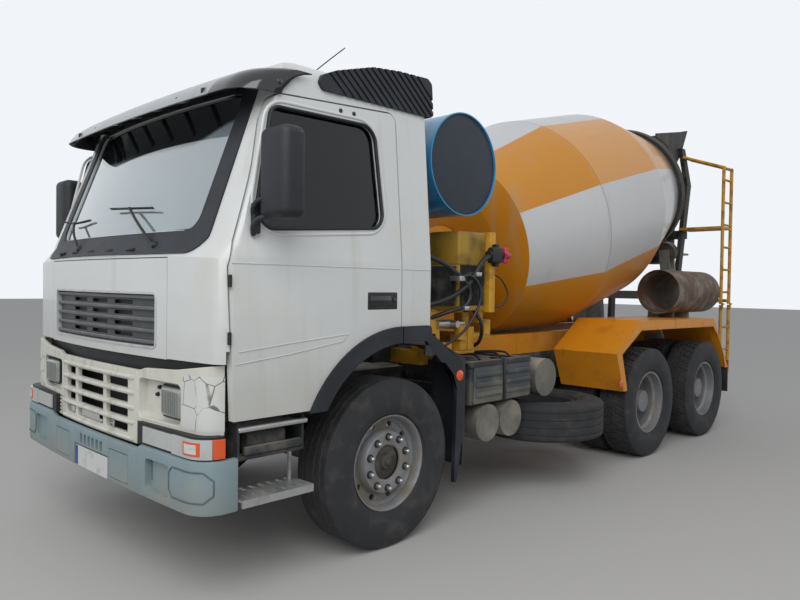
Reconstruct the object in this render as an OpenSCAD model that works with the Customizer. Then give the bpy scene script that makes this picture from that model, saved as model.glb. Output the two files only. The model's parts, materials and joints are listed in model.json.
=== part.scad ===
// Concrete mixer truck, three axles: cab-over tractor unit with a revolving drum.
// +X runs forward, +Y to the driver's left, +Z up; the ground is z = 0.
// Places along X are measured from the front axle, which sits at front_axle_x.

/* [Axles] */
// Front axle's place along X in the row frame
front_axle_x = 2540; // [2000:10:3200]
// Front axle to first drive axle
wheelbase = 3490; // [3300:10:3800]
// First drive axle to second
bogie_gap = 1370; // [1300:10:1450]
// Height of the wheel centres
axle_z = 526; // [500:1:560]
// Middle of the front tyre from the centre line
front_track_y = 1028; // [980:1:1060]
// Middle of the outer rear tyre from the centre line
rear_outer_y = 1096; // [1060:1:1110]
// Distance between the two tyres of a twin
twin_gap = 350; // [340:1:370]

/* [Tyres] */
// Width of a tyre
tyre_w = 312; // [280:1:330]
// Radius of the rim where the tyre sits
rim_r = 286; // [270:1:295]
// Depth of the tread grooves
groove_d = 12; // [6:1:18]

/* [Frame] */
// Top of the two long rails
rail_top = 1000; // [960:5:1030]
// Height of a rail
rail_h = 280; // [220:5:320]
// Outer face of a rail from the centre line
rail_y = 425; // [400:1:440]
// Width of a rail's flange
rail_flange = 85; // [60:1:100]
// Thickness of a rail
rail_t = 10; // [6:1:14]
// Front end of the rails
rail_front = 1150; // [1100:5:1180]
// Rear end of the rails
rail_rear = -5950; // [-6050:5:-5850]

/* [Cab] */
// Half of the cab's width at the belt
cab_y = 1245; // [1200:1:1260]
// Half of the cab's width at the roof
roof_y = 1150; // [1100:1:1200]
// Back wall of the cab
cab_back = -250; // [-300:5:-200]
// Underside of the cab's floor
cab_floor = 1295; // [1290:1:1330]
// Belt line where the sides begin to lean in
belt_z = 1750; // [1700:5:1800]
// Top of the roof
roof_z = 2880; // [2820:5:2930]
// Thickness of the cab's walls
cab_wall = 45; // [30:1:55]
// Thickness of a door
door_t = 48; // [40:1:50]
// Gap round a door
door_gap = 8; // [5:1:12]
// Half of the front hatch's width
hatch_y = 810; // [760:5:850]
// Lower edge of the front hatch
hatch_low = 1228; // [1220:1:1240]
// Upper edge of the front hatch
hatch_top = 1755; // [1740:1:1770]
// Thickness of window glass
glass_t = 6; // [4:1:8]

/* [Drum] */
// Slope of the drum's axis
drum_tilt = 14.354; // [12:0.1:16]
// Middle of the drum's front edge along X
drum_x = -1934; // [-1980:1:-1900]
// Height of the middle of the drum's front edge
drum_z = 1983; // [1970:1:2000]
// Radius at the front edge
drum_front_r = 836; // [800:1:860]
// Largest radius
drum_r = 1076; // [1040:1:1080]
// Radius of the mouth
drum_mouth_r = 550; // [500:1:600]
// Thickness of the drum's shell
drum_wall = 12; // [8:1:16]
// Radius of the ring that runs on the rollers
ring_r = 800; // [780:1:820]
// Radius of a roller
roller_r = 125; // [110:1:140]
// Angle of a roller from the ring's lowest point
roller_angle = 35; // [30:1:40]

/* [Body behind the cab] */
// Top of the subframe's rails
subframe_top = 1190; // [1150:5:1200]
// Radius of the water tank
tank_r = 352; // [330:1:360]
// Half of the water tank's length
tank_y = 1150; // [1100:5:1200]
// Height of the water tank's axis
tank_z = 2465; // [2440:5:2500]
// Place of the water tank's axis along X
tank_x = -691; // [-720:1:-660]
// Outer edge of the rear mudguards
guard_y = 1250; // [1230:1:1255]
// Thickness of sheet metal on the mudguards
guard_t = 6; // [3:1:8]
// Distance of the ladder's plane from the centre line
ladder_y = 1000; // [960:5:1040]
// Height of the ladder's hinge
ladder_hinge_z = 1450; // [1400:5:1500]
// Height of the platform's deck
deck_z = 2420; // [2380:5:2460]

/* [Hidden] */
$fn = 48;
tyre_r = axle_z;
run_gap = 0.05;
seat_gap = 0.3;
disc_t = 14;
hub_bore_r = 110;
nut_circle_r = 167;
spindle_r = 38;
rear_spindle_r = 45;
front_disc_off = 105;
axle_xs = [-wheelbase, -wheelbase - bogie_gap];
rail_bottom = rail_top - rail_h;
ring_s = 3371;
mouth_s = 3850;
head_pin_r = 60;
roller_reach = ring_r + roller_r + seat_gap;

module place() translate([front_axle_x, 0, 0]) children();
module both() { children(); mirror([0, 1, 0]) children(); }
module slab(x, y, z) translate([x[0], y[0], z[0]]) cube([x[1] - x[0], y[1] - y[0], z[1] - z[0]]);
module bar_x(x, y, z, r) translate([x[0], y, z]) rotate([0, 90, 0]) cylinder(r = r, h = x[1] - x[0]);
module bar_y(x, y, z, r) translate([x, y[0], z]) rotate([-90, 0, 0]) cylinder(r = r, h = y[1] - y[0]);
module bar_z(x, y, z, r) translate([x, y, z[0]]) cylinder(r = r, h = z[1] - z[0]);
// side outline (x, z) carried across from y[0] to y[1]
module side_cut(y) translate([0, y[1], 0]) rotate([90, 0, 0]) linear_extrude(y[1] - y[0]) children();
// front outline (y, z) carried along from x[0] to x[1]
module front_cut(x) translate([x[0], 0, 0]) rotate([90, 0, 90]) linear_extrude(x[1] - x[0]) children();
// rectangle from a to b with round corners
module round_rect(a, b, r) {
    translate([a[0] + r, a[1]]) square([b[0] - a[0] - 2 * r, b[1] - a[1]]);
    translate([a[0], a[1] + r]) square([b[0] - a[0], b[1] - a[1] - 2 * r]);
    for (x = [a[0] + r, b[0] - r], y = [a[1] + r, b[1] - r]) translate([x, y]) circle(r);
}
// strut of round tube between two points
module strut(a, b, r) {
    d = b - a;
    l = norm(d);
    translate(a) rotate([0, acos(d[2] / l), atan2(d[1], d[0])]) cylinder(r = r, h = l);
}
// outline of a sheet: the line given and its copy moved by d
function strip(line, d) = concat(line, [for (i = [len(line) - 1:-1:0]) line[i] + d]);

// frame
module rail() {
    slab([rail_rear, rail_front], [rail_y - rail_t, rail_y], [rail_bottom, rail_top]);
    for (z = [rail_bottom, rail_top - rail_t])
        slab([rail_rear, rail_front], [rail_y - rail_flange, rail_y], [z, z + rail_t]);
}
cross_xs = [950, -1300, -2250, -3000, -4175, -5300, -5900];
module frame_rails() color("dimgray") place() {
    both() rail();
    for (x = cross_xs) slab([x - 45, x + 45], [-rail_y + rail_t, rail_y - rail_t], [rail_top - 150, rail_top - 60]);
    // front mounts of the cab
    both() slab([rail_front - 120, rail_front], [rail_y - rail_flange, rail_y], [rail_top, cab_floor]);
    // rear arch that the cab rests on
    slab([-230, -150], [-rail_y, rail_y], [rail_top, rail_top + 70]);
    both() slab([-230, -150], [rail_y - 60, rail_y], [rail_top + 70, cab_floor]);
    // cross beam at the tail with the lamps below it
    slab([rail_rear - 60, rail_rear], [-940, 940], [rail_top - 190, rail_top - 70]);
}

engine_x = [-130, 760];
module engine() color("dimgray") place() {
    slab(engine_x, [-330, 330], [620, cab_floor - 45]);
    slab([-1150, engine_x[0]], [-210, 210], [660, 960]);
    slab([engine_x[1], 900], [-90, 90], [860, 980]);
    slab([900, 905], [-rail_y + rail_t, rail_y - rail_t], [860, 980]);
    slab([995, 1090], [-330, 330], [640, 1180]);
}

// axles
king_y = 800;
king_r = 26;
module front_axle() color("dimgray") place() {
    // beam dropped below the wheel centres between its two spring seats
    slab([-50, 50], [-640, 640], [axle_z - 120, axle_z - 20]);
    both() {
        side_cut([300, 640]) polygon([[-50, axle_z - 60], [50, axle_z - 60], [50, axle_z], [-50, axle_z]]);
        difference() {
            union() {
                slab([-40, 40], [640, king_y], [axle_z - 55, axle_z + 55]);
                bar_z(0, king_y, [axle_z - 55, axle_z + 55], 50);
            }
            bar_z(0, king_y, [axle_z - 60, axle_z + 60], king_r + run_gap);
        }
        slab([-52, 52], [560, 640], [axle_z - 120, axle_z + 55]);
        // leaf springs under the rails
        slab([-110, 110], [340, 420], [axle_z, axle_z + 30]);
        for (i = [0:2]) slab([-800 + 180 * i, 800 - 180 * i], [340, 420], [axle_z + 86 - i * 18, axle_z + 104 - i * 18]);
        slab([-110, 110], [340, 420], [axle_z + 30, axle_z + 50]);
        for (x = [-800, 760]) slab([x, x + 40], [340, 420], [axle_z + 86, rail_bottom]);
    }
}

hub_in = 560;
module drive_axles() color("dimgray") place() {
    for (x = axle_xs) {
        bar_y(x, [-hub_in, hub_in], axle_z, 75);
        difference() {
            translate([x, 0, axle_z]) sphere(235);
            slab([x - 240, x - 170], [-240, 240], [axle_z - 240, axle_z + 240]);
        }
        // spindle that the hub turns on
        both() bar_y(x, [hub_in, rear_outer_y + 20], axle_z, rear_spindle_r);
        both() slab([x - 80, x + 80], [440, 520], [axle_z - 95, axle_z + 95]);
    }
    // bogie: trunnion shaft and leaf packs over the axles
    mid = (axle_xs[0] + axle_xs[1]) / 2;
    both() {
        bar_y(mid, [rail_y, 540], rail_bottom - 20, 60);
        for (i = [0:3]) slab([mid - bogie_gap / 2 - 90 + i * 150, mid + bogie_gap / 2 + 90 - i * 150],
            [440, 520], [axle_z + 95 - i * 22, axle_z + 117 - i * 22]);
        slab([mid - 70, mid + 70], [rail_y, 440], [rail_bottom - 90, rail_bottom + 90]);
        slab([mid - 90, mid + 90], [440, 520], [axle_z + 117, rail_bottom + 60]);
    }
    // propeller shafts
    strut([-1160, 0, 800], [axle_xs[0] + 210, 0, axle_z + 40], 50);
    strut([axle_xs[0] - 150, 0, axle_z + 20], [axle_xs[1] + 210, 0, axle_z + 20], 50);
}

module knuckle() color("dimgray") place() {
    bar_z(0, king_y, [axle_z - 85, axle_z + 85], king_r);
    for (z = [-85, 58]) slab([-48, 48], [king_y - 48, king_y + 72], [axle_z + z, axle_z + z + 27]);
    slab([-48, 48], [king_y + 56, king_y + 84], [axle_z - 85, axle_z + 85]);
    bar_y(0, [king_y + 84, front_track_y + front_disc_off], axle_z, spindle_r);
    // steering arm
    slab([-230, -48], [king_y + 10, king_y + 45], [axle_z - 85, axle_z - 58]);
}
module knuckle_left() knuckle();
module knuckle_right() mirror([0, 1, 0]) knuckle();

// wheels
// half-section of a tyre: radius, offset from its middle plane
function tyre_half(r, w) = [[rim_r + seat_gap, 0.5 * w - 52], [rim_r + 14, 0.5 * w - 44], [rim_r + 30, 0.43 * w], [rim_r + 90, 0.5 * w],
    [r - 70, 0.485 * w], [r - 22, 0.445 * w], [r - 3, 0.40 * w], [r, 0.36 * w]];
module tyre_section() {
    h = tyre_half(tyre_r, tyre_w);
    lower = [for (p = h) [p[0], -p[1]]];
    difference() {
        polygon(concat(h, [for (i = [len(lower) - 1:-1:0]) lower[i]]));
        for (k = [-1.5, -0.5, 0.5, 1.5]) translate([tyre_r - groove_d, k * 0.19 * tyre_w - 5]) square([groove_d + 5, 10]);
    }
}
module tyre_at(x, y) translate([x, y, axle_z]) rotate([90, 0, 0]) rotate_extrude($fn = 96) tyre_section();
// rim: well and flanges, half-section as radius and offset from the rim's middle plane
module rim_section() {
    w = 0.5 * tyre_w - 42;
    polygon([[rim_r + 12, -w - 10], [rim_r + 12, -w], [rim_r, -w + 8], [rim_r - 6, -60], [rim_r - 26, -40],
        [rim_r - 26, 40], [rim_r - 6, 60], [rim_r, w - 8], [rim_r + 12, w], [rim_r + 12, w + 10],
        [rim_r - 8, w + 10], [rim_r - 16, 60], [rim_r - 36, 40], [rim_r - 36, -40], [rim_r - 16, -60], [rim_r - 8, -w - 10]]);
}
// disc from the rim's well to its flat at offset off, on the side d = +1 or -1
module disc_section(d, off) polygon([[rim_r - 28, d * 38], [rim_r - 28, d * 20], [rim_r - 62, d * (off - disc_t - 4)],
    [hub_bore_r, d * (off - disc_t)], [hub_bore_r, d * off], [rim_r - 68, d * off]]);
module at_wheel(x) translate([x, 0, axle_z]) rotate([-90, 0, 0]) children();
module nuts(y, h) for (a = [0:36:324]) rotate([0, 0, a + 18]) translate([nut_circle_r, 0, y]) cylinder(r = 17, h = h);
module hand_holes(y) for (a = [0:36:324]) rotate([0, 0, a]) translate([rim_r - 90, 0, y - 70]) cylinder(r = 20, h = 140);

module front_wheel_rim() color("lightgray") place() at_wheel(0) {
    difference() {
        rotate_extrude($fn = 96) {
            translate([0, front_track_y]) { rim_section(); disc_section(1, front_disc_off); }
            polygon([[spindle_r + run_gap, king_y + 100], [hub_bore_r + 2, king_y + 100],
                [hub_bore_r + 2, front_track_y + front_disc_off + 12], [hub_bore_r - 6, front_track_y + front_disc_off + 57],
                [0, front_track_y + front_disc_off + 64], [0, front_track_y + front_disc_off + 1],
                [spindle_r + run_gap, front_track_y + front_disc_off + 1]]);
        }
        hand_holes(front_track_y + front_disc_off - 40);
    }
    nuts(front_track_y + front_disc_off - 1, 39);
}
module rear_wheel_rims(x) color("lightgray") place() at_wheel(x) {
    mid = rear_outer_y - twin_gap / 2;
    difference() {
        union() {
            for (side = [[rear_outer_y, -1], [rear_outer_y - twin_gap, 1]])
                rotate_extrude($fn = 96) translate([0, side[0]]) {
                    rim_section();
                    disc_section(side[1], twin_gap / 2 + 1);
                }
            rotate_extrude($fn = 96) polygon([[rear_spindle_r + run_gap, hub_in + 8], [hub_bore_r + 2, hub_in + 8],
                [hub_bore_r + 2, rear_outer_y + 22], [hub_bore_r - 8, rear_outer_y + 62], [0, rear_outer_y + 68],
                [0, rear_outer_y + 22], [rear_spindle_r + run_gap, rear_outer_y + 22]]);
        }
        hand_holes(mid);
    }
    nuts(mid + disc_t - 2, 40);
}
module tyre_front_left() color("#2b2b2c") place() tyre_at(0, front_track_y);
module tyre_front_right() mirror([0, 1, 0]) tyre_front_left();
module rim_front_left() front_wheel_rim();
module rim_front_right() mirror([0, 1, 0]) front_wheel_rim();
module twin_tyres(x) color("#2b2b2c") place() { tyre_at(x, rear_outer_y); tyre_at(x, rear_outer_y - twin_gap); }

// nose of the truck seen from above: side line y = w, corner radius r, front at x, crown forward at the middle
module nose_plan(x, w, r, crown, back) {
    for (s = [-1, 1]) translate([x - r, s * (w - r)]) circle(r, $fn = 96);
    polygon([[back, -w], [x - r, -w], [x - r, w], [back, w]]);
    polygon([[x - r, -w + r], [x, -w + r], [x + 0.8 * crown, -0.4 * w], [x + crown, 0],
        [x + 0.8 * crown, 0.4 * w], [x, w - r], [x - r, w - r]]);
}
module nose_shell(x, w, r, crown, t, back) intersection() {
    difference() {
        nose_plan(x, w, r, crown, 0);
        nose_plan(x - t, w - t, r - t, crown, -1);
    }
    translate([back, -1.5 * w]) square([x, 3 * w]);
}

bumper_x = 1360;
bumper_z = [500, 785];
module bumper() color("#9fb3b8") place() difference() {
    union() {
        translate([0, 0, bumper_z[0]]) linear_extrude(bumper_z[1] - bumper_z[0]) nose_shell(bumper_x, cab_y, 150, 30, 45, 1140);
        both() slab([rail_front, bumper_x - 20], [rail_y - 80, rail_y], [rail_bottom - 60, rail_bottom]);
        slab([rail_front, rail_front + 50], [-rail_y, rail_y], [rail_bottom - 60, rail_bottom]);
    }
    // air slots above the number plate, tow pin covers and fog lamp recess
    for (i = [0:5]) slab([bumper_x - 60, bumper_x + 80], [-150 + i * 60, -125 + i * 60], [690, 750]);
    both() {
        slab([bumper_x - 12, bumper_x + 60], [300, 400], [560, 660]);
        front_cut([bumper_x - 22, bumper_x + 60]) round_rect([470, 540], [770, 670], 30);
    }
    slab([bumper_x + 20, bumper_x + 60], [-240, 240], [510, 630]);
}

panel_x = 1300;
panel_top = 1205;
module lower_front_panel() color("#d9d2c0") place() {
    difference() {
        translate([0, 0, bumper_z[1]]) linear_extrude(panel_top - bumper_z[1]) nose_shell(panel_x, 1188, 120, 26, 30, 1190);
        // top edge lower between the lamps
        slab([1150, 1400], [-600, 600], [1160, 1300]);
        // grille openings
        for (row = [0:3], col = [-1:1])
            slab([1240, 1400], [col * 370 - 165, col * 370 + 165], [850 + row * 72, 892 + row * 72]);
        // headlamp pocket
        both() slab([1240, 1400], [700, 950], [930, 1090]);
    }
    both() slab([rail_front, panel_x], [rail_y - 60, rail_y], [800, 840]);
}

module lamps() color("#e8e4da") place() {
    both() {
        slab([1262, 1290], [700, 950], [930, 1090]);
        translate([0, 0, bumper_z[1]]) linear_extrude(85) intersection() {
            nose_shell(bumper_x - 10, cab_y, 150, 30, 40, 1215);
            translate([1150, 800]) square([300, 500]);
        }
        // tail lamps under the rear beam
        slab([rail_rear - 50, rail_rear - 10], [640, 930], [rail_top - 310, rail_top - 190]);
    }
}

module entry_steps() color("silver") place() both() {
    slab([656, 1105], [980, 1225], [515, 540]);
    slab([680, 1130], [1020, 1215], [730, 930]);
    for (x = [690, 1060]) slab([x, x + 30], [1020, 1050], [540, 730]);
    slab([860, 940], [rail_y, 1020], [750, 830]);
}

front_guard_x = -664;
module front_mudguards() color("#3a3c40") place() both() {
    // rear quarter of the front arch
    side_cut([900, 1185]) polygon([[front_guard_x - 10, 400], [front_guard_x, 400], [front_guard_x, 1128],
        [-430, 1236], [-265, 1236], [-265, 1246], [-432, 1246], [front_guard_x - 10, 1136]]);
    side_cut([1185, 1195]) polygon([[front_guard_x - 10, 560], [front_guard_x + 30, 560], [front_guard_x + 60, 1060],
        [-430, 1180], [-265, 1180], [-265, 1246], [-432, 1246], [front_guard_x - 10, 1136]]);
    slab([front_guard_x - 60, front_guard_x - 10], [rail_y, 1100], [880, 930]);
}

module battery_box() color("#4a4b4c") place() {
    slab([-1500, -760], [rail_y + 135, 1190], [790, 1100]);
    slab([-1400, -860], [rail_y, rail_y + 135], [820, 960]);
}

air_tank_r = 135;
module chassis_tanks() color("gray") place() {
    for (x = [-996, -1281]) {
        bar_y(x, [560, 1150], 643, air_tank_r);
        slab([x - 30, x + 30], [700, 740], [643 + air_tank_r - 10, 790]);
    }
    bar_y(-1750, [560, 1150], 910, 150);
    slab([-1790, -1710], [rail_y, 562], [870, 950]);
    // fuel tank on the right
    side_cut([-1200, -620]) round_rect([-2500, 480], [-1300, 1060], 90);
    for (x = [-2300, -1600]) slab([x, x + 80], [-620, -rail_y], [700, 900]);
    // silencer with its upright pipe behind the cab
    bar_x([-1190, -740], -850, 760, 180);
    slab([-1000, -940], [-700, -rail_y], [740, 800]);
}

module spare_wheel() color("#2b2b2c") place() {
    translate([-2000, 930, 560]) rotate_extrude($fn = 96) {
        tyre_section();
        polygon([[0, -60], [rim_r + 3, -0.36 * tyre_w], [rim_r + 3, 0.36 * tyre_w], [rim_r - 12, 0.36 * tyre_w],
            [rim_r - 36, -40], [0, -46]]);
    }
    slab([-2040, -1960], [rail_y - 60, 720], [610, 660]);
    slab([-2040, -1960], [rail_y - 60, rail_y + 40], [660, rail_bottom - seat_gap]);
    slab([-2040, -1960], [700, 760], [514, 660]);
}

subframe_y = 430;
module subframe() color("#b9781c") place() {
    both() difference() {
        slab([-6000, -1250], [subframe_y - 80, subframe_y], [rail_top, subframe_top]);
        slab([-7000, -1200], [340, 420], [rail_top + 12, subframe_top - 12]);
    }
    for (x = [-1400, -2000, -3900, -4600, -5500]) slab([x, x + 70], [-420, 420], [rail_top + 12, rail_top + 90]);
}

module along_drum(s) translate([drum_x, 0, drum_z]) rotate([0, drum_tilt - 90, 0]) translate([0, 0, s]) children();
gear_s = [-420, -150];
stub_r = 130;
module drum_drive() color("#c98a25") place() {
    difference() {
        union() {
            along_drum(gear_s[0]) cylinder(r = 240, h = gear_s[1] - gear_s[0]);
            along_drum(-640) cylinder(r = 120, h = 221);
            both() side_cut([150, 190]) polygon([[-1250, subframe_top], [-1480, 1800], [-1500, 1990],
                [-1760, 1990], [-1720, 1800], [-1750, subframe_top]]);
        }
        along_drum(-230) cylinder(r = stub_r + run_gap, h = 400);
    }
    slab([-1750, -1250], [-430, 430], [subframe_top, subframe_top + 30]);
    // oil cooler beside the drive
    slab([-1120, -700], [780, 1100], [1470, 1770]);
    slab([-1090, -730], [800, 1060], [1770, 2030]);
    slab([-1120, -1040], [430, 800], [1300, 1360]);
    slab([-1120, -1040], [780, 860], [1300, 1470]);
    slab([-1250, -1040], [350, 430], [1250, 1360]);
    slab([-1250, -1100], [350, 430], [rail_top, 1250]);
}

module water_tank() color("#2f7fb0") place() {
    bar_y(tank_x, [-tank_y, tank_y], tank_z, tank_r);
    both() side_cut([380, 420]) difference() {
        polygon([[-1000, rail_top], [-850, rail_top], [tank_x + 150, 2000], [tank_x + 300, 2340], [tank_x - 300, 2340], [-850, 2000]]);
        translate([tank_x, tank_z]) circle(tank_r - 1);
    }
}

module in_ring() along_drum(ring_s) children();
module roller() color("gray") place() in_ring()
    rotate([0, 0, 180 - roller_angle]) translate([roller_reach, 0, -45]) difference() {
        cylinder(r = roller_r, h = 90);
        translate([0, 0, -1]) cylinder(r = 30 + run_gap, h = 92);
    }
module roller_left() roller();
module roller_right() mirror([0, 1, 0]) roller();
module rear_pedestal() color("#8d8f8c") place() {
    both() {
        in_ring() translate([-roller_reach * cos(roller_angle), roller_reach * sin(roller_angle), 0]) {
            translate([0, 0, -85]) cylinder(r = 30, h = 170);
            for (z = [-85, 60]) translate([-270, -60, z]) cube([310, 120, 25]);
        }
    }
    both() side_cut([430, 580]) polygon([[-5050, rail_top], [-5250, 1860], [-5560, 1880], [-5700, rail_top]]);
    slab([-5550, -5300], [-430, 430], [1500, 1600]);
    // arm behind the pedestal with the pin that the chute swings on
    slab([head_x - 110, -5880], [-430, 430], [head_z + 92, head_z + 117]);
    bar_z(head_x, 0, [head_z - 10, head_z + 92], head_pin_r);
    bar_z(head_x, 0, [head_z - 22, head_z - 2], 92);
}

// mudguards over the twin wheels: outline (x from the middle of the bogie, z)
bogie_x = -wheelbase - bogie_gap / 2;
guard_line = [[bogie_x + 1285, 690], [bogie_x + 1435, 1040], [bogie_x + 985, 1330], [bogie_x - 855, 1305], [bogie_x - 1330, 720]];
function guard_top(x) = guard_line[2][1] + (guard_line[2][0] - x) * (guard_line[3][1] - guard_line[2][1])
    / (guard_line[2][0] - guard_line[3][0]);
module rear_mudguards() color("#e08a1a") place() both() {
    side_cut([600, guard_y]) difference() {
        polygon(guard_line);
        polygon([[bogie_x + 1278, 680], [bogie_x + 1427, 1040], [bogie_x + 985, 1330 - guard_t * 1.2],
            [bogie_x - 851, 1305 - guard_t], [bogie_x - 1322, 680]]);
    }
    side_cut([guard_y - guard_t, guard_y]) difference() {
        polygon(guard_line);
        polygon([[bogie_x + 1185, 600], [bogie_x + 1325, 1030], [bogie_x + 945, 1235], [bogie_x - 845, 1215],
            [bogie_x - 1145, 980], [bogie_x - 1285, 600]]);
    }
    for (x = [bogie_x + 875, bogie_x - 825]) {
        slab([x, x + 60], [subframe_y + seat_gap, 620], [1110, 1160]);
        slab([x, x + 60], [604, 620], [1110, guard_top(x) - guard_t + 1]);
    }
    slab([bogie_x - 1345, bogie_x - 1330], [640, 1240], [430, 760]);
}

rail_xs = [-5930, -6200];
ladder_r = 20;
fold_y = ladder_y + 26;
hoop_y = 480 + 21 + seat_gap;
module platform() color("#c9962e") place() {
    slab([-6230, -5870], [480, ladder_y], [deck_z - 30, deck_z]);
    for (x = rail_xs) bar_z(x, ladder_y, [ladder_hinge_z, 3150], ladder_r);
    for (i = [0:5]) bar_x([rail_xs[1], rail_xs[0]], ladder_y, ladder_hinge_z + 150 + i * 280, 14);
    for (x = rail_xs) {
        slab([x - 25, x + 25], [480, ladder_y], [ladder_hinge_z + 20, ladder_hinge_z + 60]);
        // pin that the lower ladder folds on
        bar_x([x - 34, x + 34], fold_y, ladder_hinge_z, 8);
    }
    slab([-6225, -5870], [480, 510], [ladder_hinge_z + 20, ladder_hinge_z + 60]);
    // handrail hoop
    for (x = rail_xs) {
        translate([x, ladder_y, 3150]) sphere(21);
        strut([x, ladder_y, 3150], [x, hoop_y, 3330], 18);
        translate([x, hoop_y, 3330]) sphere(21);
    }
    bar_x([rail_xs[1], rail_xs[0]], hoop_y, 3330, 18);
}
module ladder_lower() color("#c9962e") place() {
    for (x = rail_xs) {
        bar_z(x, ladder_y, [570, ladder_hinge_z - 12], ladder_r);
        difference() {
            union() {
                bar_x([x + 22, x + 32], fold_y, ladder_hinge_z, 18);
                slab([x + 22, x + 32], [ladder_y - 10, fold_y + 12], [ladder_hinge_z - 60, ladder_hinge_z - 5]);
                slab([x, x + 32], [ladder_y - 10, ladder_y + 10], [ladder_hinge_z - 60, ladder_hinge_z - 40]);
            }
            bar_x([x + 20, x + 35], fold_y, ladder_hinge_z, 8 + run_gap);
            slab([x + 20, x + 35], [ladder_y - 40, fold_y - 10], [ladder_hinge_z - 10, ladder_hinge_z + 40]);
        }
    }
    for (i = [0:2]) bar_x([rail_xs[1], rail_xs[0]], ladder_y, 600 + i * 280, 14);
}

// portal behind the drum's mouth: front edge of a leg (x, z), then its rear edge
portal_leg = [[-5950, rail_top], [-5985, 1900], [-6230, 3000], [-6010, 3450],
    [-5900, 3450], [-6110, 3000], [-5880, 1900], [-5830, rail_top]];
portal_y = [430, 480];
module portal() color("#2c2c2c") place() {
    both() side_cut(portal_y) polygon(portal_leg);
    slab([-6200, -6120], [-portal_y[0], portal_y[0]], [2840, 2900]);
}

hopper_y = portal_y[0] - seat_gap;
hopper_back = [[-6190, 3720], [-6010, 3400], [-5800, 3180]];
funnel_r = 260;
module hopper() color("#2c2c2c") place() {
    // charging hopper, open at the top and towards the mouth
    both() side_cut([hopper_y - 12, hopper_y]) polygon([[-5250, 3540], [-6190, 3720], [-6010, 3400], [-5800, 3180],
        [-5640, 3230], [-5600, 3440], [-5250, 3500]]);
    side_cut([2 - hopper_y, hopper_y - 2]) polygon(strip(hopper_back, [14, 6]));
    side_cut([-300, 300]) polygon(strip([[-5812, 3188], [-5440, 3010]], [0, 12]));
    // funnel under the mouth
    difference() {
        bar_z(head_x, 0, [2150, 2650], funnel_r);
        bar_z(head_x, 0, [2140, 2660], funnel_r - 12);
    }
    both() slab([-6260, -6040], [funnel_r - 6, hopper_y], [2300, 2400]);
}

head_x = -6210;
head_z = 1990;
chute_pin_y = -190;
chute_pin_z = head_z + 36;
chute_r = 168;
module chute_head() color("#3a3a3a") place() difference() {
    union() {
        bar_z(head_x, 0, [head_z, head_z + 90], 120);
        for (x = [-85, 60]) slab([head_x + x, head_x + x + 25], [chute_pin_y - 28, -60], [head_z, head_z + 72]);
    }
    bar_z(head_x, 0, [head_z - 30, head_z + 100], head_pin_r + run_gap);
    bar_x([head_x - 100, head_x + 100], chute_pin_y, chute_pin_z, 20 + run_gap);
}
// the trough hangs from its pin and slopes down to its open end
module chute() color("#5a5a58") place() {
    bar_x([head_x - 95, head_x + 95], chute_pin_y, chute_pin_z, 20);
    slab([head_x - 55, head_x + 55], [chute_pin_y - 72, chute_pin_y + 30], [chute_pin_z - 32, chute_pin_z + 32]);
    translate([head_x, chute_pin_y - 60, chute_pin_z - 4]) rotate([14, 0, 0]) difference() {
        bar_y(0, [-860, 0], 20, chute_r);
        bar_y(0, [-900, -8], 20, chute_r - 8);
        slab([-300, 300], [-1300, 100], [20, 300]);
    }
}

stored_xs = [bogie_x - 1325, bogie_x - 175];
module stored_chute() color("#6b4a35") place() {
    difference() {
        union() {
            bar_x([stored_xs[1] - 1150, stored_xs[1]], 900, 1600, 240);
            for (x = [stored_xs[1] - 250, stored_xs[1] - 650]) slab([x, x + 50], [820, 980], [guard_top(x + 50) + seat_gap, 1420]);
        }
        bar_x([stored_xs[1] - 1250, stored_xs[1] + 50], 900, 1600, 234);
    }
}

// cab
// sine and cosine of the lean of the windscreen, whose mitre plane rises 1 in 7
lean_sin = 0.28;
lean_cos = 0.96;
waist_z = 1720;
// nose of the cab, set in by t: upright below the waist and leaning above it, joined in a mitre
module cab_nose(t) {
    nose_x = panel_x + 10 - t;
    mitre = [[nose_x - 2800, waist_z - 400], [nose_x + 700, waist_z + 100]];
    intersection() {
        translate([0, 0, 900]) linear_extrude(1500) nose_plan(nose_x, cab_y - t, 120 - t, 40, -400);
        side_cut([-1500, 1500]) polygon([mitre[0], mitre[1], [nose_x + 700, 800], [nose_x - 2800, 800]]);
    }
    intersection() {
        multmatrix([[lean_cos, 0, -lean_sin, nose_x * (1 - lean_cos)], [0, 1, 0, 0], [lean_sin, 0, lean_cos, waist_z - nose_x * lean_sin]])
            translate([0, 0, -600]) linear_extrude(3600) nose_plan(nose_x, cab_y - t, 120 - t, 40, -1400);
        side_cut([-1500, 1500]) polygon([mitre[0], mitre[1], [nose_x + 700, 3800], [nose_x - 2800, 3800]]);
    }
}
module cab_form(t, low) intersection() {
    side_cut([-1300, 1300]) polygon([[cab_back + t, low], [1400, low], [1400, 1800], [1060, 2740], [720, 2830 - t], [300, roof_z - t], [cab_back + t, roof_z - t]]);
    front_cut([-400, 1500]) polygon([[-cab_y + t, 900], [cab_y - t, 900], [cab_y - t, belt_z], [roof_y + 20 - t, 2700], [roof_y - 40, 2800 - t],
        [roof_y - 200, roof_z - t], [-roof_y + 200, roof_z - t], [-roof_y + 40, 2800 - t], [-roof_y - 20 + t, 2700], [-cab_y + t, belt_z]]);
    cab_nose(t);
}
module cab_skin(t, low) difference() { cab_form(0, low); cab_form(t, low + t); }
function door_line(g) = [[1172 + g, 948 - g], [1204 + g, 1710], [950 + g, 2612 + g], [20 - 1.8 * g, 2670 + g], [10 - 1.8 * g, 948 - g]];
arch_r = 790;
module door_outline(g) difference() {
    polygon(door_line(g));
    translate([0, 590]) circle(arch_r, $fn = 96);
}
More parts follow.
